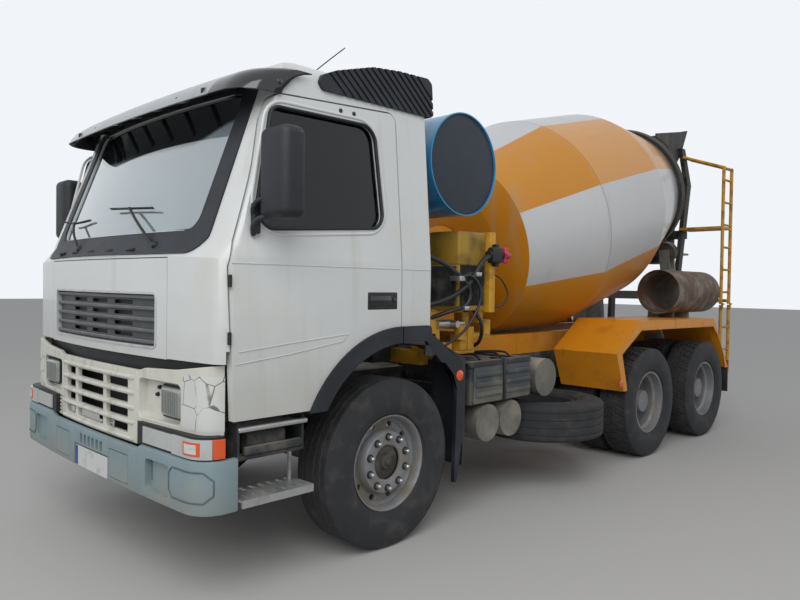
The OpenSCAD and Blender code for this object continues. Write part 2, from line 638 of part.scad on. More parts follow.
// window outline in the door, shrunk by g
module window_outline(g) polygon([[926 - g, 2546 - g], [206 + g, 2558 - g], [162 + g, 1970 + g], [1062 - 1.3 * g, 1905 + g]]);
module hatch_zone(g) front_cut([1200, 1500]) translate([-hatch_y - g, hatch_low - g]) square([2 * (hatch_y + g), hatch_top - hatch_low + 2 * g]);
module screen_outline(g) polygon([[-1090 + g, 1900 + g], [1090 - g, 1900 + g], [1010 - g, 2620 - g], [-1010 + g, 2620 - g]]);
// hinges: a lug above and below (or beside) the moving leaf's barrel, with a pin through all three
hinge_r = 10;
pin_r = 5;
door_hinge = [1204, 1250];
door_hinge_zs = [1330, 1610];
hatch_hinge = [1352, 1756];
hatch_hinge_ys = [380, 600];
leaf_h = 60;
lug_h = 14;
module door_lugs() both() for (z = door_hinge_zs) {
    bar_z(door_hinge[0], door_hinge[1], [z - lug_h - 1, z + leaf_h + lug_h + 1], pin_r);
    for (low = [z - lug_h - 1, z + leaf_h + 1]) {
        bar_z(door_hinge[0], door_hinge[1], [low, low + lug_h], hinge_r);
        slab([door_hinge[0], door_hinge[0] + 8], [door_hinge[1] - 24, door_hinge[1]], [low, low + lug_h]);
    }
}
module door_barrels() for (z = door_hinge_zs) difference() {
    union() {
        bar_z(door_hinge[0], door_hinge[1], [z, z + leaf_h], hinge_r);
        slab([door_hinge[0] - 50, door_hinge[0]], [door_hinge[1] - 12, door_hinge[1] - 1], [z, z + leaf_h]);
    }
    bar_z(door_hinge[0], door_hinge[1], [z - 1, z + leaf_h + 1], pin_r + run_gap);
}
module hatch_lugs() both() for (y = hatch_hinge_ys) {
    bar_y(hatch_hinge[0], [y - lug_h - 1, y + leaf_h + lug_h + 1], hatch_hinge[1], pin_r);
    for (low = [y - lug_h - 1, y + leaf_h + 1]) {
        bar_y(hatch_hinge[0], [low, low + lug_h], hatch_hinge[1], hinge_r);
        slab([hatch_hinge[0] - 60, hatch_hinge[0] + 2], [low, low + lug_h], [hatch_hinge[1] + 7, hatch_hinge[1] + 19]);
    }
}
module hatch_barrels() both() for (y = hatch_hinge_ys) difference() {
    union() {
        bar_y(hatch_hinge[0], [y, y + leaf_h], hatch_hinge[1], hinge_r);
        slab([hatch_hinge[0] - 30, hatch_hinge[0]], [y, y + leaf_h], [hatch_hinge[1] - 18, hatch_hinge[1] - 6]);
    }
    bar_y(hatch_hinge[0], [y - 1, y + leaf_h + 1], hatch_hinge[1], pin_r + run_gap);
}
module cab_shell() color("#e9e8e4") place() {
    difference() {
        union() {
            cab_skin(cab_wall, cab_floor);
            // wall behind the front hatch
            intersection() {
                difference() { cab_form(cab_wall - 10, cab_floor + 10); cab_form(cab_wall + 30, cab_floor + 10); }
                hatch_zone(40);
            }
        }
        intersection() {
            difference() { cab_form(-1, 1000); cab_form(cab_wall + 5, 1000); }
            hatch_zone(5);
        }
        both() side_cut([1000, 1400]) polygon(door_line(door_gap));
        front_cut([600, 1500]) screen_outline(0);
        // rear window
        front_cut([-400, 0]) round_rect([-600, 2000], [600, 2450], 60);
        both() side_cut([cab_y - cab_wall - 5, 1400]) translate([0, 590]) circle(arch_r, $fn = 96);
        both() for (z = door_hinge_zs) slab([door_hinge[0] - 60, door_hinge[0] + 16], [door_hinge[1] - 18, door_hinge[1] + 20], [z, z + leaf_h]);
    }
    door_lugs();
    hatch_lugs();
}
module cab_glass() color("#8fa6ad", 0.4) place() {
    intersection() {
        difference() { cab_form(12, 1800); cab_form(12 + glass_t, 1800); }
        front_cut([600, 1500]) screen_outline(seat_gap);
    }
    front_cut([cab_back + 12, cab_back + 12 + glass_t]) round_rect([-600 + seat_gap, 2000 + seat_gap], [600 - seat_gap, 2450 - seat_gap], 60);
}
module sun_visor() color("#9b9da0") place() difference() {
    side_cut([-1150, 1150]) polygon([[1120, 2770], [1010, 2760], [1250, 2600], [1262, 2606]]);
    cab_form(-seat_gap, 1800);
}
module roof_vanes() color("#1f1f20") place() both() difference() {
    side_cut([1090, 1190]) polygon([[600, 2710], [560, 2800], [420, 2900], [-320, 2956], [-320, 2720]]);
    cab_form(-seat_gap, 1800);
}
module cab_interior() color("#4b4b4d") place() {
    slab([860, 1120], [-1100, 1100], [1620, 1900]);
    slab([900, 1000], [-1000, 1000], [cab_floor + cab_wall, 1620]);
    both() {
        slab([150, 620], [350, 880], [1560, 1700]);
        slab([40, 160], [350, 880], [1640, 2300]);
        slab([200, 560], [420, 800], [cab_floor + cab_wall, 1560]);
    }
    translate([760, 615, 1880]) rotate([0, -55, 0]) difference() {
        cylinder(r = 230, h = 30, center = true);
        cylinder(r = 205, h = 40, center = true);
    }
    strut([990, 615, 1720], [760, 615, 1880], 30);
    translate([760, 615, 1880]) rotate([0, -55, 0]) cube([420, 40, 20], center = true);
}
module front_hatch() color("#ecebe6") place() {
    difference() {
        intersection() {
            difference() { cab_form(0, hatch_low); cab_form(cab_wall, 1000); }
            hatch_zone(0);
        }
        front_cut([1200, 1500]) round_rect([-720, 1275], [720, 1575], 40);
    }
    for (i = [0:3]) slab([1308, 1338], [-721, 721], [1300 + i * 70, 1330 + i * 70]);
    slab([1308, 1342], [-15, 15], [1270, 1580]);
    hatch_barrels();
}
module door() color("#e9e8e4") place() {
    difference() {
        intersection() {
            difference() { cab_form(0, 940); cab_form(door_t, 930); }
            side_cut([1000, 1300]) door_outline(0);
        }
        side_cut([1000, 1300]) window_outline(0);
        slab([50, 290], [1220, 1300], [1486, 1586]);
        for (z = door_hinge_zs) bar_z(door_hinge[0], door_hinge[1], [z - lug_h - 7, z + leaf_h + lug_h + 7], hinge_r + 6);
    }
    door_barrels();
}
module door_left() door();
module door_right() mirror([0, 1, 0]) door();
module door_glass() color("#3a4348", 0.5) place() intersection() {
    difference() { cab_form(20, 940); cab_form(20 + glass_t, 930); }
    side_cut([1000, 1300]) window_outline(seat_gap);
}
module door_glass_left() door_glass();
module door_glass_right() mirror([0, 1, 0]) door_glass();
module mirror_arm() color("#1b1b1c") place() {
    slab([940, 1060], [1330, 1500], [1955, 2375]);
    difference() {
        union() {
            strut([1080, 1200, 1900], [1010, 1400, 1990], 18);
            strut([1080, 1200, 2020], [1010, 1400, 2030], 18);
        }
        cab_form(-seat_gap, 1000);
    }
}
module mirror_left() mirror_arm();
module mirror_right() mirror([0, 1, 0]) mirror_arm();

// drum: radius and distance along the axis of its outer line
drum_line = [[stub_r + 60, -150 + 20], [560, -90], [drum_front_r, 0], [drum_r, 1009], [drum_r - 14, 2215], [drum_r - 29, 2285],
    [ring_r - 51, ring_s], [drum_mouth_r, mouth_s]];
module drum() color("#e8921e") place() along_drum(0) {
    rotate_extrude($fn = 96) {
        polygon(concat(drum_line, [for (i = [len(drum_line) - 1:-1:0])
            [drum_line[i][0] - (i == 0 ? 0 : drum_wall), drum_line[i][1] + (i < 2 ? drum_wall : 0)]]));
        translate([0, -130]) square([stub_r + 80, 20]);
        translate([0, -210]) square([stub_r, 100]);
        polygon([[ring_r - 60, ring_s - 45], [ring_r, ring_s - 45], [ring_r, ring_s + 45], [ring_r - 70, ring_s + 45]]);
    }
}

frame_rails();
engine();
front_axle();
drive_axles();
bumper();
lower_front_panel();
lamps();
entry_steps();
front_mudguards();
battery_box();
chassis_tanks();
spare_wheel();
subframe();
drum_drive();
water_tank();
rear_pedestal();
rear_mudguards();
platform();
portal();
hopper();
stored_chute();
cab_shell();
cab_glass();
sun_visor();
roof_vanes();
cab_interior();
front_hatch();
door_left();
door_right();
door_glass_left();
door_glass_right();
mirror_left();
mirror_right();
knuckle_left();
knuckle_right();
tyre_front_left();
tyre_front_right();
rim_front_left();
rim_front_right();
twin_tyres(axle_xs[0]);  // tyres_rear_1_left
mirror([0, 1, 0]) twin_tyres(axle_xs[0]);  // tyres_rear_1_right
twin_tyres(axle_xs[1]);  // tyres_rear_2_left
mirror([0, 1, 0]) twin_tyres(axle_xs[1]);  // tyres_rear_2_right
rear_wheel_rims(axle_xs[0]);  // rims_rear_1_left
mirror([0, 1, 0]) rear_wheel_rims(axle_xs[0]);  // rims_rear_1_right
rear_wheel_rims(axle_xs[1]);  // rims_rear_2_left
mirror([0, 1, 0]) rear_wheel_rims(axle_xs[1]);  // rims_rear_2_right
drum();
roller_left();
roller_right();
chute_head();
chute();
ladder_lower();
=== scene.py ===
import json
import math

import bmesh
import bpy
from mathutils import Matrix, Vector


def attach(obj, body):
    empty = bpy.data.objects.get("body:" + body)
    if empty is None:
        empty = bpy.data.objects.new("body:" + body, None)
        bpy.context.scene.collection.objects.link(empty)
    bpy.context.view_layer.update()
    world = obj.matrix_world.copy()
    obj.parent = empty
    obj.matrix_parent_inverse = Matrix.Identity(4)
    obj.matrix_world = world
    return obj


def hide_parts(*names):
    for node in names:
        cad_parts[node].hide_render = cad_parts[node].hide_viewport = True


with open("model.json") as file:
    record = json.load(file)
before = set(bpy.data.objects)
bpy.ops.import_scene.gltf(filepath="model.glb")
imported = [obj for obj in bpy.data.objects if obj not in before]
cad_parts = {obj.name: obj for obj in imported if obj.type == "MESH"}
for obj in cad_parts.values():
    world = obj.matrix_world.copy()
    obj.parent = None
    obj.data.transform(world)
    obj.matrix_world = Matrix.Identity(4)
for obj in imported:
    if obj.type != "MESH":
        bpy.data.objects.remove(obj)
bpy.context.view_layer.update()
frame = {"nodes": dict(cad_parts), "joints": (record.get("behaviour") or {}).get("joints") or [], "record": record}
nodes = frame["nodes"]
front_x = next(j for j in frame["joints"] if j["name"] == "steer_left")["pos_m"][0]


def at(x, y, z):
    """A place given in metres ahead of the front axle, left of the middle and above the ground."""
    return Vector((front_x + x, y, z))


# shader building


NOISE_DETAIL = 4
NOISE_ROUGHNESS = 0.55
RAY_SAMPLES = 4


class Shader:
    """A material's node tree, with short calls for the nodes that the finishes share."""

    def __init__(self, name):
        self.material = bpy.data.materials.new(name)
        self.material.use_nodes = True
        self.tree = self.material.node_tree
        self.shader = self.tree.nodes["Principled BSDF"]
        self.place = self.add("ShaderNodeTexCoord").outputs["Object"]

    def add(self, kind, **settings):
        node = self.tree.nodes.new(kind)
        for key, value in settings.items():
            setattr(node, key, value)
        return node

    def put(self, socket, value):
        if isinstance(value, bpy.types.NodeSocket):
            self.tree.links.new(value, socket)
        elif value is not None:
            socket.default_value = value

    def math(self, operation, a, b=None, c=None):
        node = self.add("ShaderNodeMath", operation=operation)
        for socket, value in zip(node.inputs, (a, b, c)):
            self.put(socket, value)
        return node.outputs[0]

    def stretched(self, scale, shift=(0, 0, 0)):
        node = self.add("ShaderNodeMapping")
        self.put(node.inputs["Vector"], self.place)
        node.inputs["Scale"].default_value = scale
        node.inputs["Location"].default_value = shift
        return node.outputs[0]

    def noise(self, scale, stretch=(1, 1, 1), shift=(0, 0, 0)):
        node = self.add("ShaderNodeTexNoise")
        self.put(node.inputs["Vector"], self.stretched(stretch, shift=shift))
        node.inputs["Scale"].default_value = scale
        node.inputs["Detail"].default_value = NOISE_DETAIL
        node.inputs["Roughness"].default_value = NOISE_ROUGHNESS
        return node.outputs["Fac"]

    def cells(self, scale, feature="F1"):
        node = self.add("ShaderNodeTexVoronoi", feature=feature)
        self.put(node.inputs["Vector"], self.stretched((1, 1, 1)))
        node.inputs["Scale"].default_value = scale
        return node.outputs["Distance"]

    def span(self, value, low, high, out_low=0.0, out_high=1.0):
        """The value's way from low to high, eased at both ends."""
        node = self.add("ShaderNodeMapRange", interpolation_type="SMOOTHSTEP")
        for socket, number in zip(node.inputs, (value, low, high, out_low, out_high)):
            self.put(socket, number)
        return node.outputs[0]

    def axis(self, name, source=None):
        node = self.add("ShaderNodeSeparateXYZ")
        self.put(node.inputs[0], source or self.place)
        return node.outputs[name]

    def facing_up(self):
        node = self.add("ShaderNodeNewGeometry")
        return self.axis("Z", node.outputs["Normal"])

    def crevice(self, distance):
        node = self.add("ShaderNodeAmbientOcclusion", samples=RAY_SAMPLES)
        node.inputs["Distance"].default_value = distance
        return self.math("SUBTRACT", 1.0, node.outputs["AO"])

    def edge(self, radius):
        bevel = self.add("ShaderNodeBevel", samples=RAY_SAMPLES)
        bevel.inputs["Radius"].default_value = radius
        plain = self.add("ShaderNodeNewGeometry")
        dot = self.add("ShaderNodeVectorMath", operation="DOT_PRODUCT")
        self.put(dot.inputs[0], bevel.outputs[0])
        self.put(dot.inputs[1], plain.outputs["Normal"])
        return self.span(dot.outputs["Value"], 0.995, 0.9)

    def dot(self, source, direction):
        node = self.add("ShaderNodeVectorMath", operation="DOT_PRODUCT")
        self.put(node.inputs[0], source)
        node.inputs[1].default_value = direction
        return node.outputs["Value"]

    def moved(self, origin):
        node = self.add("ShaderNodeVectorMath", operation="SUBTRACT")
        self.put(node.inputs[0], self.place)
        node.inputs[1].default_value = origin
        return node.outputs["Vector"]

    def mix(self, amount, a, b):
        node = self.add("ShaderNodeMix", data_type="RGBA")
        self.put(node.inputs["Factor"], amount)
        self.put(node.inputs["A"], a if isinstance(a, bpy.types.NodeSocket) else (*a[:3], 1))
        self.put(node.inputs["B"], b if isinstance(b, bpy.types.NodeSocket) else (*b[:3], 1))
        return node.outputs["Result"]

    def mix_number(self, amount, a, b):
        node = self.add("ShaderNodeMix", data_type="FLOAT")
        for key, value in (("Factor", amount), ("A", a), ("B", b)):
            self.put(node.inputs[key], value)
        return node.outputs["Result"]

    def bump(self, height, distance):
        node = self.add("ShaderNodeBump")
        node.inputs["Distance"].default_value = distance
        node.inputs["Strength"].default_value = 1.0
        self.put(node.inputs["Height"], height)
        if self.shader.inputs["Normal"].is_linked:
            self.put(node.inputs["Normal"], self.shader.inputs["Normal"].links[0].from_socket)
        self.put(self.shader.inputs["Normal"], node.outputs[0])


def srgb(text):
    """A linear colour from a hex one."""
    channels = [int(text[i:i + 2], 16) / 255 for i in (1, 3, 5)]
    return tuple(c / 12.92 if c <= 0.04045 else ((c + 0.055) / 1.055) ** 2.4 for c in channels)


def mask(s, kind, *settings):
    """One mask, 0 to 1, for the finish being built: wear and dirt, and for a crevice layer the occluded hollows,
    where a dark tint is painted shade.
    """
    if kind == "cloud":
        scale, low, high = settings
        return s.span(s.noise(scale), low, high)
    if kind == "streak":
        scale, low, high = settings
        return s.span(s.noise(scale, stretch=(1, 1, 0.07)), low, high)
    if kind == "low":
        top, bottom = settings
        ragged = s.math("MULTIPLY_ADD", s.noise(3.1), 0.5, s.axis("Z"))
        return s.span(ragged, top + 0.25, bottom + 0.25)
    if kind == "spots":
        scale, size = settings
        small = s.span(s.cells(scale), size, size * 0.4)
        return s.math("MULTIPLY", small, s.span(s.noise(scale * 0.13, shift=(3, 1, 7)), 0.52, 0.62))
    if kind == "up":
        (amount,) = settings
        return s.math("MULTIPLY", s.span(s.facing_up(), 0.3, 0.9), s.span(s.noise(5.0), 0.25, 0.6, 0, amount))
    if kind == "edge":
        radius, low, high = settings
        return s.math("MULTIPLY", s.edge(radius), s.span(s.noise(14.0), low, high))
    if kind == "cracks":
        scale, size = settings
        lines = s.span(s.cells(scale, "DISTANCE_TO_EDGE"), size, size * 0.3)
        return s.math("MULTIPLY", lines, s.span(s.noise(3.0), 0.32, 0.42))
    if kind == "crevice":
        # occluded hollows, from ambient occlusion: the rim's dark tint here is painted shade, the tyre's light
        # tint is dust in the grooves
        (distance,) = settings
        return s.span(s.crevice(distance), 0.25, 0.85)
    raise ValueError(kind)


def finish_of(name, colour, rough, grain, metal, coat, *layers):
    """A worn finish, with painted shade where a crevice layer darkens hollows. A layer is mask kind, the mask's
    settings, colour, strength and roughness.

    Grain is a list of (scale, depth).
    """
    s = Shader(name)
    base = srgb(colour)
    tone = s.mix(s.noise(1.7), [0.94 * c for c in base], [min(1, 1.05 * c) for c in base])
    gloss = s.mix_number(s.noise(9.0), max(0.05, rough - 0.08), min(1, rough + 0.08))
    shine = metal
    for kind, *settings, tint, strength, layer_rough in layers:
        amount = s.math("MULTIPLY", mask(s, kind, *settings), strength)
        tone = s.mix(amount, tone, srgb(tint))
        gloss = s.mix_number(amount, gloss, layer_rough)
        if metal:
            shine = s.mix_number(amount, shine, 0.0)
    s.put(s.shader.inputs["Base Color"], tone)
    s.put(s.shader.inputs["Roughness"], gloss)
    s.put(s.shader.inputs["Metallic"], shine)
    s.shader.inputs["Coat Weight"].default_value = coat
    for scale, depth in grain:
        s.bump(s.noise(scale), depth)
    return s.material


DUST = "#a39d90"
MUD = "#8c8577"
RUST = "#6b3a20"
GRIME = "#3c3a36"

FINISHES = {
    # slot: (colour, roughness, grain, metal, coat, layers)
    "cab_white": ("#cfd2d1", 0.36, [(1.3, 0.004)], 0.0, 0.25, ("low", 1.55, 0.95, "#a9a79c", 0.5, 0.7),
        ("streak", 6.0, 0.56, 0.75, "#a9a493", 0.3, 0.6), ("cloud", 2.2, 0.5, 0.8, "#cbc8bc", 0.5, 0.5),
        ("spots", 30.0, 0.06, GRIME, 0.6, 0.8)),
    "panel_cream": ("#cccbc2", 0.5, [(90.0, 0.0004)], 0.0, 0.0,
        ("cloud", 5.0, 0.5, 0.75, "#b0ac9d", 0.6, 0.7), ("streak", 9.0, 0.55, 0.7, "#8f8a78", 0.4, 0.8),
        ("spots", 26.0, 0.12, GRIME, 0.8, 0.8)),
    "bumper_grey": ("#7d9096", 0.48, [(80.0, 0.0004)], 0.0, 0.0,
        ("cloud", 4.0, 0.48, 0.72, "#788889", 0.7, 0.7), ("low", 0.72, 0.45, "#8e8f86", 0.7, 0.8),
        ("spots", 34.0, 0.1, GRIME, 0.8, 0.8)),
    "black_plastic": ("#1f2226", 0.5, [(220.0, 0.0003)], 0.0, 0.0,
        ("cloud", 4.0, 0.45, 0.75, "#3a3d40", 0.6, 0.7), ("up", 0.6, DUST, 0.5, 0.9)),
    "trim_dark": ("#33353a", 0.75, [(160.0, 0.0005)], 0.0, 0.0,
        ("cloud", 6.0, 0.45, 0.75, "#4a4a4c", 0.6, 0.85)),
    "visor": ("#8f9294", 0.3, [(3.0, 0.002)], 0.0, 0.3, ("cloud", 3.0, 0.45, 0.75, "#7d8082", 0.6, 0.5)),
    "frame": ("#2d2c2b", 0.7, [(40.0, 0.0012)], 0.0, 0.0, ("cloud", 4.0, 0.42, 0.7, "#6f6a60", 0.75, 0.9),
        ("up", 0.9, DUST, 0.85, 0.95), ("spots", 18.0, 0.2, RUST, 0.7, 0.9)),
    "engine": ("#3a3c3b", 0.6, [(60.0, 0.0015)], 0.4, 0.0, ("cloud", 5.0, 0.42, 0.7, "#1b1a19", 0.8, 0.35),
        ("up", 0.8, DUST, 0.8, 0.95)),
    "axle": ("#343230", 0.75, [(60.0, 0.0015)], 0.0, 0.0, ("cloud", 6.0, 0.4, 0.7, "#716b5f", 0.8, 0.95),
        ("spots", 22.0, 0.2, RUST, 0.7, 0.9)),
    "step_alu": ("#b4b6b6", 0.38, [(120.0, 0.0003)], 0.9, 0.0,
        ("cloud", 7.0, 0.45, 0.7, "#78766f", 0.7, 0.8), ("up", 0.5, DUST, 0.6, 0.9)),
    "box_grey": ("#3c3f40", 0.7, [(120.0, 0.0006)], 0.0, 0.0, ("cloud", 5.0, 0.4, 0.7, "#77736a", 0.7, 0.9),
        ("up", 1.0, DUST, 0.9, 0.95), ("low", 1.1, 0.75, MUD, 0.5, 0.95)),
    "tank_grey": ("#6c6b65", 0.6, [(70.0, 0.0006)], 0.2, 0.0,
        ("cloud", 5.0, 0.42, 0.7, "#8f897b", 0.8, 0.9), ("up", 1.0, DUST, 0.8, 0.95),
        ("spots", 20.0, 0.16, RUST, 0.6, 0.9)),
    # the rim's crevice layer darkens its occluded hollows: painted shade
    "rim": ("#85868a", 0.5, [(90.0, 0.0004)], 0.3, 0.0, ("cloud", 7.0, 0.4, 0.68, "#77705f", 0.8, 0.85),
        ("crevice", 0.05, "#3a332b", 0.8, 0.9), ("spots", 30.0, 0.14, RUST, 0.7, 0.9)),
    "yellow": ("#d88c1c", 0.42, [(2.2, 0.003), (60.0, 0.0003)], 0.0, 0.1,
        ("cloud", 3.0, 0.5, 0.75, "#b06d1a", 0.6, 0.6), ("streak", 8.0, 0.58, 0.74, "#6d4c24", 0.5, 0.8),
        ("edge", 0.008, 0.45, 0.6, RUST, 0.8, 0.85), ("spots", 20.0, 0.18, RUST, 0.8, 0.9)),
    "tank_blue": ("#2a83b4", 0.35, [(1.6, 0.003)], 0.0, 0.2, ("cloud", 3.0, 0.5, 0.75, "#23698f", 0.6, 0.5),
        ("streak", 7.0, 0.58, 0.75, "#6b8a97", 0.5, 0.7)),
    "pedestal": ("#8b8d87", 0.6, [(40.0, 0.0006)], 0.0, 0.0,
        ("cloud", 3.4, 0.45, 0.72, "#6a6960", 0.7, 0.8), ("streak", 7.0, 0.52, 0.7, "#5f5a4c", 0.6, 0.85),
        ("spots", 14.0, 0.22, RUST, 0.7, 0.9)),
    "ladder": ("#c9921f", 0.55, [(90.0, 0.0005)], 0.0, 0.0, ("cloud", 8.0, 0.46, 0.66, "#7a5a2b", 0.8, 0.8),
        ("spots", 26.0, 0.26, RUST, 0.9, 0.9)),
    "hopper": ("#262524", 0.6, [(30.0, 0.0012)], 0.0, 0.0, ("cloud", 3.6, 0.46, 0.68, "#55524c", 0.7, 0.85),
        ("streak", 6.0, 0.5, 0.68, "#7c776c", 0.6, 0.95), ("spots", 12.0, 0.24, RUST, 0.7, 0.9)),
    "chute": ("#5b4a3e", 0.75, [(34.0, 0.0016)], 0.0, 0.0, ("cloud", 5.0, 0.42, 0.66, "#8f877b", 0.8, 0.95),
        ("streak", 8.0, 0.5, 0.66, RUST, 0.7, 0.85)),
    "grille": ("#45484b", 0.5, [(120.0, 0.0004)], 0.0, 0.0, ("cloud", 7.0, 0.45, 0.75, "#6c6e6e", 0.6, 0.8),
        ("up", 0.8, DUST, 0.5, 0.9)),
    "flare": ("#11151c", 0.55, [(150.0, 0.0004)], 0.0, 0.0, ("cloud", 5.0, 0.45, 0.75, "#2e343d", 0.6, 0.7),
        ("spots", 22.0, 0.1, DUST, 0.6, 0.9)),
    "smoky": ("#17181b", 0.12, [(2.0, 0.001)], 0.0, 0.4, ("cloud", 5.0, 0.5, 0.8, "#3a3b3d", 0.5, 0.4)),
    "bright_rim": ("#c3c6c6", 0.35, [(80.0, 0.0003)], 0.2, 0.0,
        ("cloud", 9.0, 0.45, 0.75, "#8b8c88", 0.6, 0.7)),
    "grille_slat": ("#55595c", 0.5, [(120.0, 0.0004)], 0.0, 0.0,
        ("cloud", 7.0, 0.45, 0.75, "#7b7d7c", 0.6, 0.8), ("up", 0.8, DUST, 0.5, 0.9)),
    "mirror_face": ("#c9ced1", 0.05, [(2.0, 0.0005)], 1.0, 0.0,
        ("cloud", 6.0, 0.5, 0.8, "#a9adae", 0.5, 0.3)),
    "bumper_line": ("#4c585c", 0.6, [(80.0, 0.0003)], 0.0, 0.0,
        ("cloud", 9.0, 0.45, 0.75, "#6b777a", 0.6, 0.7)),
    "black_dusty": ("#26282b", 0.7, [(120.0, 0.0005)], 0.0, 0.0,
        ("cloud", 7.0, 0.42, 0.7, "#6c675e", 0.7, 0.9), ("up", 0.6, DUST, 0.6, 0.9)),
    "tank_end": ("#1d2631", 0.55, [(1.6, 0.002)], 0.0, 0.0, ("cloud", 3.0, 0.5, 0.8, "#2f3741", 0.4, 0.6),
        ("streak", 7.0, 0.58, 0.75, "#3d434a", 0.3, 0.8)),
    "yellow_dull": ("#a1802a", 0.55, [(60.0, 0.0005)], 0.0, 0.0,
        ("cloud", 5.0, 0.45, 0.72, "#5c4a22", 0.8, 0.85), ("up", 0.7, DUST, 0.6, 0.9),
        ("spots", 22.0, 0.2, RUST, 0.7, 0.9)),
    "yellow_bright": ("#cf9a26", 0.5, [(60.0, 0.0005)], 0.0, 0.0,
        ("cloud", 6.0, 0.48, 0.72, "#7a5a1e", 0.8, 0.85), ("up", 0.8, DUST, 0.5, 0.9),
        ("edge", 0.006, 0.45, 0.6, RUST, 0.8, 0.85)),
    "box_dark": ("#3a3f42", 0.6, [(90.0, 0.0005)], 0.0, 0.0,
        ("cloud", 5.0, 0.42, 0.72, "#62635f", 0.7, 0.85), ("low", 0.95, 0.8, MUD, 0.4, 0.95)),
    "head_lens": ("#8d928f", 0.12, [(60.0, 0.0004)], 0.25, 0.7,
        ("cloud", 9.0, 0.5, 0.8, "#6f716c", 0.6, 0.4)),
    "patched": ("#cfd0cc", 0.45, [(60.0, 0.0004)], 0.0, 0.0, ("cloud", 5.0, 0.5, 0.75, "#b7b4a9", 0.5, 0.7),
        ("cracks", 9.0, 0.028, "#4b4a45", 0.85, 0.8)),
    "chrome": ("#b9bab8", 0.3, [(80.0, 0.0003)], 0.9, 0.0, ("cloud", 9.0, 0.45, 0.75, "#77736a", 0.6, 0.7)),
    "rubber": ("#101113", 0.55, [(90.0, 0.0003)], 0.0, 0.0, ("cloud", 9.0, 0.5, 0.8, "#35363a", 0.5, 0.8)),
    "hose": ("#15171b", 0.45, [(160.0, 0.0005)], 0.0, 0.0, ("cloud", 9.0, 0.5, 0.8, "#4a4843", 0.6, 0.8)),
    "orange_lens": ("#d9541a", 0.25, [(40.0, 0.0004)], 0.0, 0.4,
        ("cloud", 12.0, 0.5, 0.8, "#a8431c", 0.5, 0.4)),
    "clear_lens": ("#b4b8b6", 0.15, [(60.0, 0.0006)], 0.0, 0.5,
        ("cloud", 9.0, 0.5, 0.8, "#9b9c94", 0.6, 0.4)),
    "plate_white": ("#c9ccc9", 0.45, [(60.0, 0.0003)], 0.0, 0.0,
        ("cloud", 14.0, 0.5, 0.75, "#8f918b", 0.6, 0.8)),
    "plate_blue": ("#27427f", 0.45, [(60.0, 0.0003)], 0.0, 0.0,
        ("cloud", 14.0, 0.5, 0.75, "#4a5a80", 0.6, 0.8)),
    "knob_red": ("#b8394f", 0.45, [(60.0, 0.0003)], 0.0, 0.0,
        ("cloud", 16.0, 0.5, 0.75, "#8d4a4f", 0.6, 0.8)),
    "tyre": ("#26272a", 0.8, [(90.0, 0.0008)], 0.0, 0.0, ("cloud", 9.0, 0.45, 0.8, "#55534f", 0.5, 0.95),
        ("crevice", 0.03, "#7a766d", 0.5, 0.95)),
}


DRUM_TILT = math.radians(14.354)
DRUM_START = at(-1.934, 0, 1.983)
DRUM_AXIS = Vector((-math.cos(DRUM_TILT), 0, math.sin(DRUM_TILT)))
DRUM_UP = Vector((math.sin(DRUM_TILT), 0, math.cos(DRUM_TILT)))
STRIPES = 4
STRIPE_START = math.radians(25.5)
SEAMS = (1.009, 2.25)


def drum_paint():
    """Orange and white lengthwise stripes, an orange front dish, a painted sky reflection that lightens the orange
    behind the first seam, dark seams and a grimy rear.
    """
    s = Shader("drum_paint")
    place = s.moved(DRUM_START)
    along = s.dot(place, DRUM_AXIS)
    angle = s.math("ARCTAN2", s.axis("Y", place), s.dot(place, DRUM_UP))
    ragged = s.math("MULTIPLY_ADD", s.noise(3.0), 0.006, angle)
    wave = s.math("SINE", s.math("MULTIPLY", s.math("SUBTRACT", ragged, STRIPE_START + 0.003),
                                 float(STRIPES)))
    stripe = s.span(wave, -0.012, 0.012)
    orange = s.math("MAXIMUM", stripe, s.span(along, 0.006, 0.001))
    paint = s.mix(s.noise(1.1), srgb("#c07b0e"), srgb("#cc8a1c"))
    # behind the first seam the orange is lightened: a painted sky reflection
    paint = s.mix(s.span(along, 0.95, 1.06, 0.0, 0.35), paint, srgb("#e2a55c"))
    paint = s.mix(s.span(along, 0.003, -0.004), paint, srgb("#c87f12"))
    white = s.mix(s.noise(0.9, shift=(4, 2, 1)), srgb("#bebfc1"), srgb("#cacbcb"))
    tone = s.mix(orange, white, paint)
    gloss = s.mix_number(s.noise(7.0), 0.33, 0.5)
    seam = None
    for place_along in SEAMS:
        line = s.span(s.math("ABSOLUTE", s.math("SUBTRACT", along, place_along)), 0.006, 0.002)
        seam = line if seam is None else s.math("MAXIMUM", seam, line)
    streaks = s.math("MULTIPLY", s.span(s.noise(5.0, stretch=(1, 1, 0.12)), 0.55, 0.8), 0.35)
    rear = s.span(s.math("MULTIPLY_ADD", s.noise(2.6), 0.5, along), 3.05, 3.6)
    chips = s.span(s.cells(24.0), 0.055, 0.03)
    chips = s.math("MULTIPLY", chips, s.span(s.noise(1.6, shift=(9, 1, 2)), 0.55, 0.66))
    for amount, tint, rough in ((streaks, "#9c9485", 0.7), (s.math("MULTIPLY", seam, 0.75), "#6f6a60", 0.8),
                                (s.math("MULTIPLY", chips, 0.8), "#5a3c22", 0.85), (rear, "#3a3733", 0.9)):
        tone = s.mix(amount, tone, srgb(tint))
        gloss = s.mix_number(amount, gloss, rough)
    s.put(s.shader.inputs["Base Color"], tone)
    s.put(s.shader.inputs["Roughness"], gloss)
    s.shader.inputs["Coat Weight"].default_value = 0.15
    s.bump(s.noise(1.3), 0.004)
    s.bump(s.noise(60.0), 0.0002)
    return s.material


GLASS_IOR = 1.45


